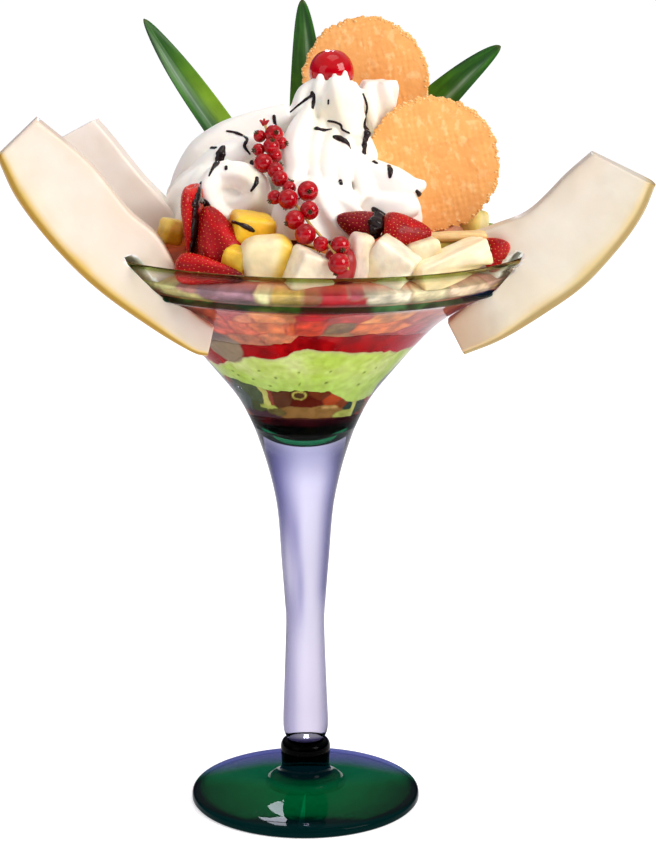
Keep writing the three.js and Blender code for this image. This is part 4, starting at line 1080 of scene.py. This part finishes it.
WAFERS = {"wafer_front": ((54, 2, 282), 28.0, (84, 0, 4), 1),
          "wafer_back": ((26, 28, 314.5), 26.8, (86, 0, -3), 4)}
WAFER_THICKNESS = 3
GRID_CELL = 2.5
crumb_finish = finish_of("wafer_crumb", [(0.3, (226, 160, 84)), (0.7, (250, 214, 150))], 700, 0.75)
crumb_nodes = scatter_tree("wafer_crumbs", crumb_finish, (1.0, 0.8, 0.6))
baked = finish_of(
    "baked_wafer", [(0.25, (250, 242, 234)), (0.5, (255, 254, 252)), (0.75, (252, 247, 240))], 110, 0.7,
    "flesh", bump=0.15, bump_scale=900, Specular_IOR_Level=0.25,
)
for node, (centre, radius, degrees, seed) in WAFERS.items():
    turn, flesh, share = euler_of(degrees), [], []

    def wafer_spot(s, t, around):
        at_edge = Vector((9 * math.cos(around), 9 * math.sin(around), seed))
        ragged = 1 + ease(0.8, 1, s) * 0.034 * noise.fractal(at_edge, 0.4, 2.2, 4)
        r = s * radius * ragged
        x, y = r * math.cos(around), r * math.sin(around)
        drift = noise.noise_vector(Vector((x / 14, y / 14, seed)))
        across = (x * 0.97 + y * 0.2) / GRID_CELL + 0.5 * drift.x
        along = (y * 0.97 - x * 0.2) / GRID_CELL + 0.5 * drift.y
        worn = 0.6 * ease(0.25, 0.8, streak(x / 7, y / 7, seed))
        grid = 0.5 + 0.25 * (math.cos(2 * math.pi * across) + math.cos(2 * math.pi * along)) * worn
        relief = ((grid - 0.5) * 0.4 + 0.14 * noise.noise(Vector((x / 3, y / 3, seed)))) * ease(1.0, 0.93, s)
        warp = 0.7 * noise.noise(Vector((x / 22, y / 22, seed)))
        z = t * (WAFER_THICKNESS / 2 + relief) + warp
        golden = blend((244, 172, 96), (250, 186, 112), 0.2 + 0.8 * grid)
        golden = blend(golden, (253, 208, 146),
                       0.7 * ease(0.62, 0.85, streak(across * 0.8, along * 0.5, seed + 9)))
        golden = blend(golden, (238, 160, 90), 0.35 * ease(0.4, 0.2, streak(x / 12, y / 12, seed + 5)))
        flesh.append(linear(*blend(golden, (238, 172, 92), 0.6 * ease(0.9, 1.0, s))))
        share.append(ease(0.93, 0.985, s))
        return tuple(turn @ Vector((x, y, z)) + Vector(centre))

    steps = [k / 76 for k in range(76)] + [0.993]
    edge = [(1.0, -0.55), (1.004, 0), (1.0, 0.55)]
    profile = [(s, -1) for s in steps] + edge + [(s, 1) for s in reversed(steps)]
    spots, faces = turned(profile, 300, wafer_spot)
    wafer = piece_of(node + "_biscuit", spots, faces, baked, flesh)
    crumb_sizes = {"Spacing": 0.0011, "Grain size": 0.00062, "Dent depth": 0.0, "Dent width": 0.001,
                   "Seed": seed}
    scattered(wafer, crumb_nodes, crumb_sizes, share)
    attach(wafer, "root")
    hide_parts(node)

# The pineapple leaves
# Three stiff leaves cut from the crown of a pineapple and pushed in behind the cream. Each is a blade folded
# along its middle, with fine lengthwise ribs, a painted silvery highlight beside the fold, painted light on
# one side of its lower part and a thin dry tip.

# Each: its base, tip, width, bend of the middle, the way its face looks, and where its painted silvery
# highlight lies.
LEAVES = {
    "leaf_left": ((-14, 30, 262), (-69, 36, 340), 17, (-4, 4, 2), (0.5, -1, 0.3), -0.45),
    "leaf_centre": ((2, 36, 262), (-1, 38, 348), 19, (2, 4, 0), (-0.2, -1, 0.1), 0.1),
    "leaf_right": ((26, 38, 266), (84, 36, 328.5), 20, (-4, 6, 4), (-0.4, -1, 0.2), 0.3),
}
LEAF_THICKNESS = 1.1
leaf_finish = finish_of(
    "waxy_leaf", [(0.3, (222, 226, 216)), (0.7, (255, 255, 255))], 120, 0.4, "flesh", bump=0.1,
    Specular_IOR_Level=0.25,
)
blade_spots, blade_faces = box_grid(28, 90, 2)
for node, (base, tip, width, bend, looks, highlight_at) in LEAVES.items():
    start, end, front = Vector(base), Vector(tip), Vector(looks).normalized()
    middle = start.lerp(end, 0.5) + Vector(bend)
    shaped, flesh = [], []
    for u, far, side in blade_spots:
        v = (far + 1) / 2
        spine = start * (1 - v) ** 2 + middle * 2 * v * (1 - v) + end * v**2
        along = ((middle - start) * (1 - v) + (end - middle) * v).normalized()
        across = along.cross(front).normalized()
        half = (width / 2) * max(0.035, math.sqrt(max(0.0, 1 - v**1.6)) * mix(0.86, 1, math.sin(v * 2.6)))
        fold = 0.24 * half * abs(u) ** 1.2 + 0.5 * math.sin(v * 9 + u * 2) * abs(u)
        rib = 0.09 * math.cos(u * 42) * (1 - abs(u)) if abs(side) == 1 else 0.0
        thick = side * (LEAF_THICKNESS / 2 * (1 - 0.6 * u * u) + rib)
        shaped.append(tuple(spine + across * (u * half) + front * (fold + thick)))
        green = blend((50, 112, 18), (16, 62, 16), streak(u * 2, v * 3, width))
        # Painted light: one side of the lower blade is lighter and yellower.
        lit, aside = (0.95, u) if highlight_at < 0 else (0.35, -u)
        green = blend(green, (136, 176, 36), lit * ease(0.95, 0.45, v) * ease(-0.3, 0.4, aside))
        # A painted silvery highlight beside the fold.
        silver_highlight = math.exp(-(((u - highlight_at) / 0.22) ** 2)) * (0.4 + 0.6 * streak(u * 9, v * 1.2, 3))
        green = blend(green, (186, 204, 190), 0.85 * silver_highlight * ease(1.0, 0.75, v))
        flesh.append(linear(*blend(green, (96, 92, 48), 0.7 * ease(0.965, 1.0, v))))
    blade = piece_of(node + "_blade", shaped, outward(shaped, blade_faces), leaf_finish, flesh)
    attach(blade, "root")
    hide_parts(node)

# The whipped cream
# Cream piped through a star nozzle: a tall ridged swirl in the middle, rounder ones beside and behind it,
# folded lobes in front and a curl on the left. They sink into each other as one soft mass.


PUFF_STEPS, SIDES_PER_RIDGE = 44, 14


def puff(at, height, line, ridges, twist, depth, coils, sway=(0, 0), degrees=(0, 0, 0)):
    """A piped swirl: a ridged turned shape that may also coil; line gives its radii by height."""
    turn = euler_of(degrees)
    heights, radii = [t for t, _ in line], [r for _, r in line]
    profile = [(0, 0)] + [(1, k / PUFF_STEPS) for k in range(PUFF_STEPS + 1)] + [(0, 1)]

    def place(s, t, around):
        wave = math.cos(ridges * (around + twist * 2 * math.pi * t * 0.35))
        ridge = 1 + depth * (abs(wave) ** 0.75 * math.copysign(1, wave))
        coil = 1 + coils * (abs(math.sin(math.pi * 3 * t + around / 2)) - 0.6)
        r = s * float(np.interp(t, heights, radii)) * ridge * coil
        local = Vector((r * math.cos(around) + sway[0] * t * t, r * math.sin(around) + sway[1] * t * t,
                        height * t))
        return tuple(turn @ local + Vector(at))

    return turned(profile, ridges * SIDES_PER_RIDGE, place)


DOME = ((0, 1), (0.25, 0.97), (0.5, 0.86), (0.72, 0.68), (0.88, 0.44), (1, 0.1))


def dome(radius):
    return [(t, radius * share) for t, share in DOME]


def band(first, rings, sides):
    """Faces between each ring of spots and the next; first is the number of the first ring's first spot."""
    faces = []
    for k in range(rings - 1):
        for j in range(sides):
            a, b = first + k * sides + j, first + k * sides + (j + 1) % sides
            faces.append((a, b, b + sides, a + sides))
    return faces


def rope(points, sizes, ridges, depth, twist, sides=48):
    """A ridged rope of cream along the points, with its radius at each, closed and rounded at both ends."""
    line = [Vector(p) for p in flowing(points, 10)]
    radii = np.interp(np.linspace(0, 1, len(line)), np.linspace(0, 1, len(sizes)), sizes)
    spots = [tuple(line[0])]
    side = Vector((0.31, 0.2, 0.93))
    for k, at in enumerate(line[1:-1], 1):
        along = (line[k + 1] - line[k - 1]).normalized()
        side = (side - along * side.dot(along)).normalized()
        other = along.cross(side)
        for j in range(sides):
            a = 2 * math.pi * j / sides
            wave = math.cos(ridges * a + twist * k)
            r = radii[k] * (1 + depth * wave)
            spots.append(tuple(at + side * (r * math.cos(a)) + other * (r * math.sin(a))))
    rings = len(line) - 2
    faces = band(1, rings, sides)
    spots.append(tuple(line[-1]))
    last = len(spots) - 1
    for j in range(sides):
        a, b = j, (j + 1) % sides
        faces.append((0, 1 + b, 1 + a))
        faces.append((last, 1 + (rings - 1) * sides + a, 1 + (rings - 1) * sides + b))
    return spots, outward(spots, faces)


def way_out(degrees):
    """The level way out from the cup's middle, by degrees from its front."""
    return Vector((math.sin(math.radians(degrees)), -math.cos(math.radians(degrees)), 0))


PEAK = [(0, 33), (0.18, 26), (0.36, 20), (0.55, 16.4), (0.74, 13.6), (0.86, 12), (0.95, 8.5), (1, 3)]
CHERRY_AT = Vector((11.5, 5, 320.5))
CHERRY_RADIUS = 9.4
piped = [
    puff((11, -2, 257), 59, PEAK, 9, 0.55, 0.13, 0.10, (0, 5)),
    puff((-20, 6, 257), 43, dome(37), 9, -0.5, 0.085, 0.05, (4, 0)),
    puff((29, 13, 262), 54, [(0, 7), (0.5, 7), (0.72, 7.8), (0.93, 7.4), (1, 6.2)], 5, 1.1, 0.28, 0.0,
         (2.5, 0)),
    puff((16, 32, 257), 36, dome(30), 7, 0.4, 0.12, 0.08),
    puff((5, -38, 262), 20, dome(20), 8, 0.3, 0.12, 0.0, (0, 0), (14, 0, 0)),
    puff((31, -20, 260), 20, dome(17), 7, 0.2, 0.06, 0.0, (5, -2), (8, 6, 0)),
    puff((-36, -22, 262), 24, dome(21), 8, -0.2, 0.10, 0.0, (-2, 0), (6, -8, 0)),
]
CURL_AT = Vector((-27.5, -39, 275))
curl_line = []
for k in range(18):
    a = math.radians(200 - 24 * k)
    reach = 11 - 0.42 * k
    local = Vector((1.15 * reach * math.cos(a), 0.9 * reach * math.sin(a), 2.4 - 0.34 * k))
    curl_line.append(tuple(euler_of((76, 0, -12)) @ local + CURL_AT))
piped.append(rope(curl_line, [3.4, 5, 5.6, 6, 6, 5.6, 5, 4], 6, 0.06, 0.02))
# Cream fills the curl's middle to a shallow dimple.
CURL_FACES = Vector((-0.2, -0.95, 0.24))
in_curl = [tuple(CURL_AT + CURL_FACES * far) for far in (-9, -4, 1.5)]
piped.append(rope(in_curl, [6, 7.5, 6.5], 3, 0.08, 0.05))
# Each fold: the spots it runs through, and its radius along them.
FOLDS = [
    ([(3, -4, 306), (-1, -16, 299), (-4, -25, 291), (-3.5, -31, 284), (-6, -37, 279)], [3, 5, 5.8, 5, 3]),
    ([(10, -7, 304), (6, -19, 296.5), (4, -27, 288), (6, -36, 278)], [1.8, 3.3, 3.6, 2.2]),
    ([(14, -8, 304), (11.5, -21, 295), (9.6, -30, 285.5), (12, -38.5, 276)], [1.8, 3.2, 3.6, 2.2]),
    ([(18, -9, 302), (17, -22, 292), (16, -31, 283), (18.5, -39, 274)], [1.8, 2.9, 3.3, 2.2]),
    ([(22, -9, 298), (22.5, -20, 288), (24, -29, 279.5), (26, -35, 271)], [1.8, 3.6, 4.6, 3.6]),
    ([(13, -2, 318), (15.5, -9, 309), (17.5, -14, 301), (19, -18, 294)], [4.4, 6.6, 7.6, 4]),
    ([(7, 0, 317), (1, 0, 312), (-1, -2, 306), (-2, -6, 301)], [2.5, 3.8, 4.4, 3.8]),
    ([(21, -14, 296.5), (25, -17, 296.5), (27.6, -17, 296)], [1.4, 1.9, 1]),
    ([(19, -16, 292.5), (24, -19, 293), (26.4, -20, 294)], [1.4, 1.9, 1]),
    ([(18, -18, 290.5), (21.5, -21, 290), (24.4, -21, 291)], [1.4, 2, 1.3]),
    ([(19, -20, 282), (28, -24, 280), (37, -26, 277.6), (44, -27, 276.4), (50.6, -27, 277.8)],
     [5.8, 7.4, 7, 5.2, 1.2]),
    ([(24, -30, 270), (33, -32, 269), (41, -32, 268.5), (47, -30, 269)], [5, 6, 5.4, 3.4]),
    ([(15, -36, 277), (13, -41, 272), (10, -46, 267), (7, -51, 261.5)], [5.8, 5, 3.6, 0.8]),
    ([(20, -36, 274), (18, -41, 269), (15, -46, 263.5)], [5, 3.8, 1]),
    ([(-8, -34, 279), (-1, -39, 274.5), (7, -41, 272)], [3.3, 5, 3.8]),
    ([(-29, -33, 286.5), (-35, -38, 283), (-38.5, -42, 276), (-36, -45, 270), (-30, -46, 266)],
     [2.6, 4.4, 4.8, 4, 2.6]),
    ([(-22, -36, 274), (-17, -40, 270), (-11, -40, 269)], [3.3, 4, 2.6]),
    ([(-54, 6, 268), (-49, 2, 277), (-42, 0, 286), (-32, 0, 293), (-20, 0, 298), (-4, -1, 303)],
     [4, 6, 7.6, 7.6, 7, 6]),
    ([(-50, -16, 266), (-44, -20, 276), (-33, -20, 286), (-18, -17, 293)], [5, 7, 7.4, 5]),
]
for k, (points, sizes) in enumerate(FOLDS):
    piped.append(rope(points, sizes, 5, 0.05, 0.03 + 0.004 * k))
# Peaks of thin icing that lick up the front of the cherry: angle from the front, how high, how thick.
LICKS = [
    (-60, 8.5, 3), (-30, 12.2, 2.7), (7, 12.8, 1.7), (36, 13.6, 2.2),
    (60, 9, 2.6), (150, 7, 3), (-120, 7, 3), (100, 8, 2.6),
]
for degrees, rise, thick in LICKS:
    way = way_out(degrees)
    foot_at = CHERRY_AT + way * (CHERRY_RADIUS * 0.95) + Vector((0, 0, -14))
    waist = CHERRY_AT + way * (CHERRY_RADIUS + 0.5) + Vector((0, 0, -14 + rise * 0.6))
    head = CHERRY_AT + way * (CHERRY_RADIUS * 0.92 + 0.3) + Vector((0, 0, -12 + rise))
    sizes = [thick * 1.9, thick * 1.2, thick * 0.45]
    piped.append(rope([foot_at, waist, head], sizes, 4, 0.04, 0.0, 20))

cream_finish = finish_of(
    "whipped_cream", [(0.3, (250, 245, 236)), (0.7, (255, 251, 243))], 45, 0.5, "flesh", bump=0.06,
    bump_scale=300, Subsurface_Weight=0.2, Subsurface_Scale=0.005, Specular_IOR_Level=0.3,
)
# Where the cream is painted yellower: the middle of each such spot, how wide it is and how strong.
YELLOWER_SPOTS = [((16, -14, 305), 12, 0.8), ((-20, -44, 283), 6, 0.5), ((-18, -44, 271), 6, 0.5),
              ((5, -32, 290), 5, 0.4), ((28, 8, 304), 8, 0.3)]
spots, faces, _ = joined([(s, f, []) for s, f in piped])
cream = piece_of("whipped_cream_swirls", spots, faces, cream_finish)
CREAM_GRID = 0.00075
melted = ("REMESH", dict(mode="VOXEL", voxel_size=CREAM_GRID)), ("SMOOTH", dict(factor=0.5, iterations=4))
settled(cream, *melted)
at = np.empty(len(cream.data.vertices) * 3)
cream.data.vertices.foreach_get("co", at)
at = at.reshape(-1, 3) / MM
yellower = sum(share * np.exp(-(((at - spot) / wide) ** 2).sum(1)) for spot, wide, share in YELLOWER_SPOTS)
shown = 1 - np.minimum(1, yellower)[:, None] * (1 - np.array(linear(255, 246, 216)))
painted = cream.data.attributes.new("flesh", "FLOAT_COLOR", "POINT")
painted.data.foreach_set("color", shown.astype(np.float32).ravel())
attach(cream, "root")
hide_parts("cream")

# The cherry
# One candied cherry without its stalk, soaked red and shiny with syrup. Icing licks up its front, and a
# little syrup runs down between.

candied = finish_of(
    "candied_cherry", [(0.3, (150, 0, 10)), (0.7, (206, 0, 16))], 60, 0.07, Subsurface_Weight=0.1,
    Subsurface_Scale=0.003, Specular_IOR_Level=0.3,
)


def cherry_spot(s, t, around):
    polar = math.pi * t
    dimple = 1 - 0.04 * math.exp(-((polar / 0.35) ** 2))
    uneven = 1 + 0.02 * noise.noise(Vector((math.cos(around) * 2, math.sin(around) * 2, t * 4)))
    r = CHERRY_RADIUS * dimple * uneven
    local = Vector((r * s * math.cos(around), r * s * math.sin(around), r * 0.98 * math.cos(polar)))
    return tuple(CHERRY_AT + local)


def ball(steps):
    """The profile of a round berry: its radius by how far down it is."""
    return [(0, 0)] + [(math.sin(math.pi * k / steps), k / steps) for k in range(1, steps)] + [(0, 1)]


spots, faces = turned(ball(40), 72, cherry_spot)
parts = [(spots, outward(spots, faces), [])]
# Where syrup runs: degrees from the front, where it starts and ends below the middle, and how thick.
SYRUP = ((-3, -1, -10.5, 1.0), (24, -1, -11.5, 0.9), (-58, -3, -9, 0.7), (12, -4, -7.5, 0.6))
for degrees, start, end, thick in SYRUP:
    way = way_out(degrees)
    fall = []
    for share in (0, 0.25, 0.5, 0.75, 1):
        fall.append(CHERRY_AT + way * mix(9.0, 10.3, share) + Vector((0, 0, mix(start, end, share))))
    parts.append((*rope(fall, [thick, thick, thick * 1.2, thick * 1.5], 2, 0.0, 0.0, 16), []))
spots, faces, _ = joined(parts)
cherry = piece_of("candied_cherry_red", spots, faces, candied)
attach(cherry, "root")
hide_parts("cherry")

# The red currants
# A sprig of ripe red currants laid down the front. The berries are glossy and clear enough to show their
# pale veins, each ends in a dry brown tuft, and they hang by short stalks from one thin yellowish stem.

# Each berry: its centre, radius, and the way its tuft points.
CURRANTS = [
    (-17.8, -28, 297.3, 2.6, (-0.5, -0.6, 0.6)), (-12, -29, 298.2, 3.9, (0.3, -1, 0.35)),
    (-9.3, -29, 294.7, 2.7, (0.9, -0.5, 0)), (-18.2, -33, 292.4, 2.6, (-0.7, -0.7, 0)),
    (-13, -34, 293.9, 3.4, (0.2, -0.6, 0.9)), (-11.7, -34, 290.1, 3, (0.5, 1, 0.2)),
    (-16.1, -40.5, 287.9, 3.9, (-0.4, 0.5, -0.7)), (-11.2, -43.5, 285.4, 3.4, (0.6, 0.3, 0.6)),
    (-9.3, -48, 282.7, 3.4, (0.8, 0.4, -0.2)), (-11.3, -56, 276.3, 2.9, (-0.7, -0.6, -0.5)),
    (-5.9, -58.5, 275.9, 4.1, (-0.3, 0.3, -1)), (2, -57, 278.9, 4.2, (0.15, -1, 0.1)),
    (2.6, -65, 272.3, 3.8, (0.1, -1, 0)), (-3.1, -68.5, 269.1, 3.9, (-0.9, -0.4, -0.3)),
    (1.1, -75, 264.5, 4.2, (-0.6, 0.2, -0.9)), (7.2, -79, 261.3, 3, (-0.2, 0.4, -0.9)),
    (14.8, -80, 260.8, 3.8, (0.25, -0.95, -0.35)), (14.2, -86, 254.6, 4.3, (-0.3, -0.2, -1)),
    (-5.5, -52, 279.5, 2.8, (0.3, 0.3, 0.9)),
]
STEM_POINTS = [
    (-16, -27, 302.5), (-14, -30, 297), (-14.5, -33, 291.5), (-12.5, -38, 286), (-8, -46, 280.5),
    (-4, -55, 275), (0, -63, 270.5), (3, -70, 267.5), (7.5, -76.5, 263.5), (12.5, -82.5, 258.5),
    (18.3, -89, 252.5),
]
ripe = finish_of(
    "ripe_currant", [(0.3, (226, 214, 214)), (0.7, (255, 255, 255))], 240, 0.07, "flesh",
    Subsurface_Weight=0.1, Subsurface_Scale=0.002, Specular_IOR_Level=0.35,
)
currant_line = ball(26)
stem_line = [Vector(p) for p in flowing(STEM_POINTS, 8)]
STEM_GREEN, TUFT_BROWN = (206, 170, 92), (92, 66, 34)
SEPALS = 5


def strand(points, sizes, colour, ridges=2, depth=0.0, twist=0.0, sides=10):
    """A thin rope in one colour."""
    spots, faces = rope(points, sizes, ridges, depth, twist, sides)
    return spots, faces, [linear(*colour)] * len(spots)


parts = []
for k, (x, y, z, radius, way) in enumerate(CURRANTS):
    centre = Vector((x, y, z))
    pole = Vector(way).normalized().to_track_quat("Z", "Y").to_matrix()
    flesh = []

    def currant_spot(s, t, around):
        polar = math.pi * t
        vein = abs(math.cos(around * 6)) ** 14 * math.sin(polar) ** 0.5
        red = blend((152, 0, 14), (196, 4, 20), streak(around, t * 3, k))
        red = blend(red, (226, 60, 56), 0.35 * vein)
        flesh.append(linear(*blend(red, (120, 40, 24), ease(0.34, 0.16, polar))))
        r = radius * (1 - 0.07 * math.exp(-((polar / 0.3) ** 2)) + 0.012 * vein)
        local = Vector((r * s * math.cos(around), r * s * math.sin(around), r * math.cos(polar)))
        return tuple(centre + pole @ local)

    spots, faces = turned(currant_line, 40, currant_spot)
    parts.append((spots, outward(spots, faces), flesh))
    # The dry tuft: a ragged ring of five curled sepals round a dark middle.
    for j in range(SEPALS + 1):
        a = 2 * math.pi * j / SEPALS
        lift = Vector((0, 0, radius * 0.93))
        out = Vector((math.cos(a), math.sin(a), 0)) * (0.0 if j == SEPALS else 1.0)
        sepal = [lift + out * far + Vector((0, 0, up)) for far,
                 up in ((0.3, -0.3), (0.75, 0.35), (0.8, 0.95))]
        parts.append(strand([centre + pole @ p for p in sepal], [0.35, 0.34, 0.16], TUFT_BROWN, sides=8))
    joint = min(stem_line, key=lambda p: (p - centre).length)
    end = centre - (pole @ Vector((0, 0, 1))) * radius * 0.8
    if (joint - centre).length < radius:
        joint = joint + (joint - centre).normalized() * (radius - (joint - centre).length)
    stalk = [joint, joint.lerp(end, 0.5) + Vector((0, -0.4, 0.5)), end]
    parts.append(strand(stalk, [0.38, 0.34, 0.4], blend(STEM_GREEN, (150, 30, 24), 0.4)))
parts.append(strand(STEM_POINTS, [0.5, 0.6, 0.6, 0.55, 0.6, 0.5], STEM_GREEN, 3, 0.08, 0.1, 14))
for across in (-0.7, 0.0, 0.8):
    tip = (-16 + across * 2.6, -28, 304.6 - abs(across))
    calyx = [(-16, -27, 301.5), (-16 + across * 1.2, -27.5, 303), tip]
    parts.append(strand(calyx, [0.7, 0.75, 0.3], (176, 24, 30)))
spots, faces, flesh = joined(parts)
sprig = piece_of("red_currants_on_stem", spots, faces, ripe, flesh)
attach(sprig, "root")
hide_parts("currant_sprig")

# The chocolate drizzle
# Thin dark chocolate sauce let fall in short runs and drops over the finished cream and fruit. Each run is
# laid on whatever lies under it, as seen from the front or from behind.

# Each run: the spots it passes, as x and z seen on the middle plane, and its half width at each.
RUNS = [
    ([(-32.4, 296.1), (-29, 295.5), (-25.3, 294), (-23.9, 292.5), (-25, 289.8), (-22.7, 286.4)],
     [0.5, 0.6, 0.6, 0.8, 0.8, 0.45]),
    ([(-39.6, 289.1), (-37, 289)], [1.0, 0.8]),
    ([(-34, 289.6), (-34.9, 286.9), (-35.7, 283.9), (-38.3, 280.5), (-40, 277.2)], [1.2, 2.3, 1.9, 0.8, 0.4]),
    ([(-32.8, 281.2), (-32.8, 280)], [0.8, 0.7]),
    ([(-19.9, 276.5), (-20.3, 274), (-22.4, 270.8)], [0.8, 1.0, 0.5]),
    ([(-22.3, 283.6), (-21.9, 282.4)], [0.9, 1.0]),
    ([(-12.6, 302.5), (-12.3, 300), (-11.7, 297.6)], [0.8, 0.9, 0.6]),
    ([(-43.4, 274.6), (-44.4, 270), (-46, 265), (-46.3, 259.8), (-47, 251), (-48, 242.3)],
     [0.6, 1.6, 2.7, 2.0, 2.0, 0.8]),
    ([(-45.5, 268), (-42, 266), (-40, 264.6)], [1.3, 1.5, 0.9]),
    ([(-5.7, 304), (-1.7, 307.4), (3.7, 311.3)], [0.45, 0.55, 1.0]),
    ([(3.2, 312), (4.2, 310.3), (3.5, 305.6)], [1.3, 1.0, 0.7]),
    ([(10.2, 309), (10.2, 307.4)], [0.6, 0.6]),
    ([(4.8, 297.3), (8.3, 296.5), (11.5, 296.9)], [1.1, 0.9, 0.45]),
    ([(10, 300.3), (13, 299.8), (15.4, 298.6), (16, 296.8), (19, 295.2)], [0.5, 0.55, 0.6, 0.6, 0.4]),
    ([(12.5, 293.6), (15.4, 292.7), (18, 291.2), (19.4, 288.8)], [1.1, 1.6, 1.1, 0.4]),
    ([(24.6, 311.7), (26, 308), (26.3, 304.9), (25.3, 298.6), (26.5, 295.7), (25.4, 291.5), (25.1, 286.9)],
     [0.4, 0.5, 0.6, 0.8, 1.7, 1.1, 1.3]),
    ([(29.2, 283.3), (30.4, 282.5)], [1.0, 0.8]),
    ([(35.6, 285.3), (36.4, 284.1)], [0.8, 0.9]),
    ([(35.6, 281.5), (36.2, 279.5), (36, 276.6)], [1.0, 1.3, 0.7]),
    ([(15.1, 275.3), (15.6, 273.8)], [0.9, 0.9]),
    ([(47.2, 271), (48.6, 269), (48.8, 266.4)], [0.8, 1.2, 1.0]),
    ([(29, 263.4), (31.5, 260.5), (31, 257), (30.4, 254), (31.4, 249.5)], [1.2, 3.0, 4.2, 3.8, 1.4]),
    ([(-30.5, 257.9), (-27.1, 256.8), (-24.2, 255.5), (-21.3, 253.8)], [0.7, 0.8, 1.3, 0.7]),
]
BACK_RUNS = [
    ([(-14, 300), (-6, 294), (4, 291), (12, 294), (22, 289)], [0.5, 0.8, 0.7, 0.9, 0.5]),
    ([(-30, 288), (-22, 283), (-12, 282), (-4, 277)], [0.5, 0.8, 1.0, 0.5]),
    ([(0, 286), (9, 281), (20, 279), (26, 273)], [0.5, 0.9, 0.8, 0.6]),
    ([(-22, 272), (-12, 270), (-2, 272)], [0.8, 1.2, 0.6]),
    ([(14, 271), (20, 266)], [0.9, 1.3]),
]
FROM_BEHIND = Vector((0.0, 1.05, 0.42))
laid_on = [piece for piece in bpy.data.objects if piece.name.endswith(("_berry", "_cut", "_swirls"))]
surfaces = []
for piece in laid_on:
    at = [v.co for v in piece.data.vertices]
    surfaces.append((at, [list(f.vertices) for f in piece.data.polygons], []))
spots, faces, _ = joined(surfaces)
ground = BVHTree.FromPolygons(spots, faces)
JUMP = 6
parts, stretches = [], []
for eye, runs in ((EYE, RUNS), (FROM_BEHIND, BACK_RUNS)):
    for seen, widths in runs:
        line = flowing([(x, 0.0, z) for x, z in seen], 8)
        halves = np.interp(np.linspace(0, 1, len(line)), np.linspace(0, 1, len(widths)), widths)
        for spot, half in zip(line, halves):
            hit, normal, _, _ = ground.ray_cast(eye, (Vector(spot) * MM - eye).normalized())
            if hit is None:
                continue
            if spot == line[0] or not stretches or (hit / MM - stretches[-1][-1][0]).length > JUMP:
                stretches.append([])
            stretches[-1].append((hit / MM, normal, half * (0.9 + 0.25 * noise.noise(hit * 600))))
sides = 14
ring = [2 * math.pi * j / sides for j in range(sides)]
for rings in stretches:
    if len(rings) > 2:
        spots = []
        for k, (at, normal, half) in enumerate(rings):
            along = (rings[min(k + 1, len(rings) - 1)][0] - rings[max(k - 1, 0)][0]).normalized()
            up = (normal - along * normal.dot(along)).normalized()
            over = along.cross(up)
            # The first and last ring have a smaller one before and after them, which rounds the ends.
            steps = [(1.0, 0.0)]
            if k == 0:
                steps.insert(0, (0.5, -0.6))
            elif k == len(rings) - 1:
                steps.append((0.5, 0.6))
            for shrink, shift in steps:
                middle = at + along * half * shift
                for a in ring:
                    rise = 0.55 * half * shrink * math.sin(a) + 0.1
                    spots.append(tuple(middle + over * (half * shrink * math.cos(a)) + up * rise))
        count = len(spots) // sides
        faces = band(0, count, sides)
        faces += [tuple(range(sides))[::-1], tuple(range((count - 1) * sides, count * sides))]
        parts.append((spots, outward(spots, faces), []))
sauce = finish_of("dark_chocolate_sauce", [(0.3, (16, 4, 4)), (0.7, (32, 10, 9))], 200, 0.24,
                  Specular_IOR_Level=0.3)
spots, faces, _ = joined(parts)
drizzle = piece_of("chocolate_drizzle_runs", spots, faces, sauce)
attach(drizzle, "root")
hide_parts("cream")
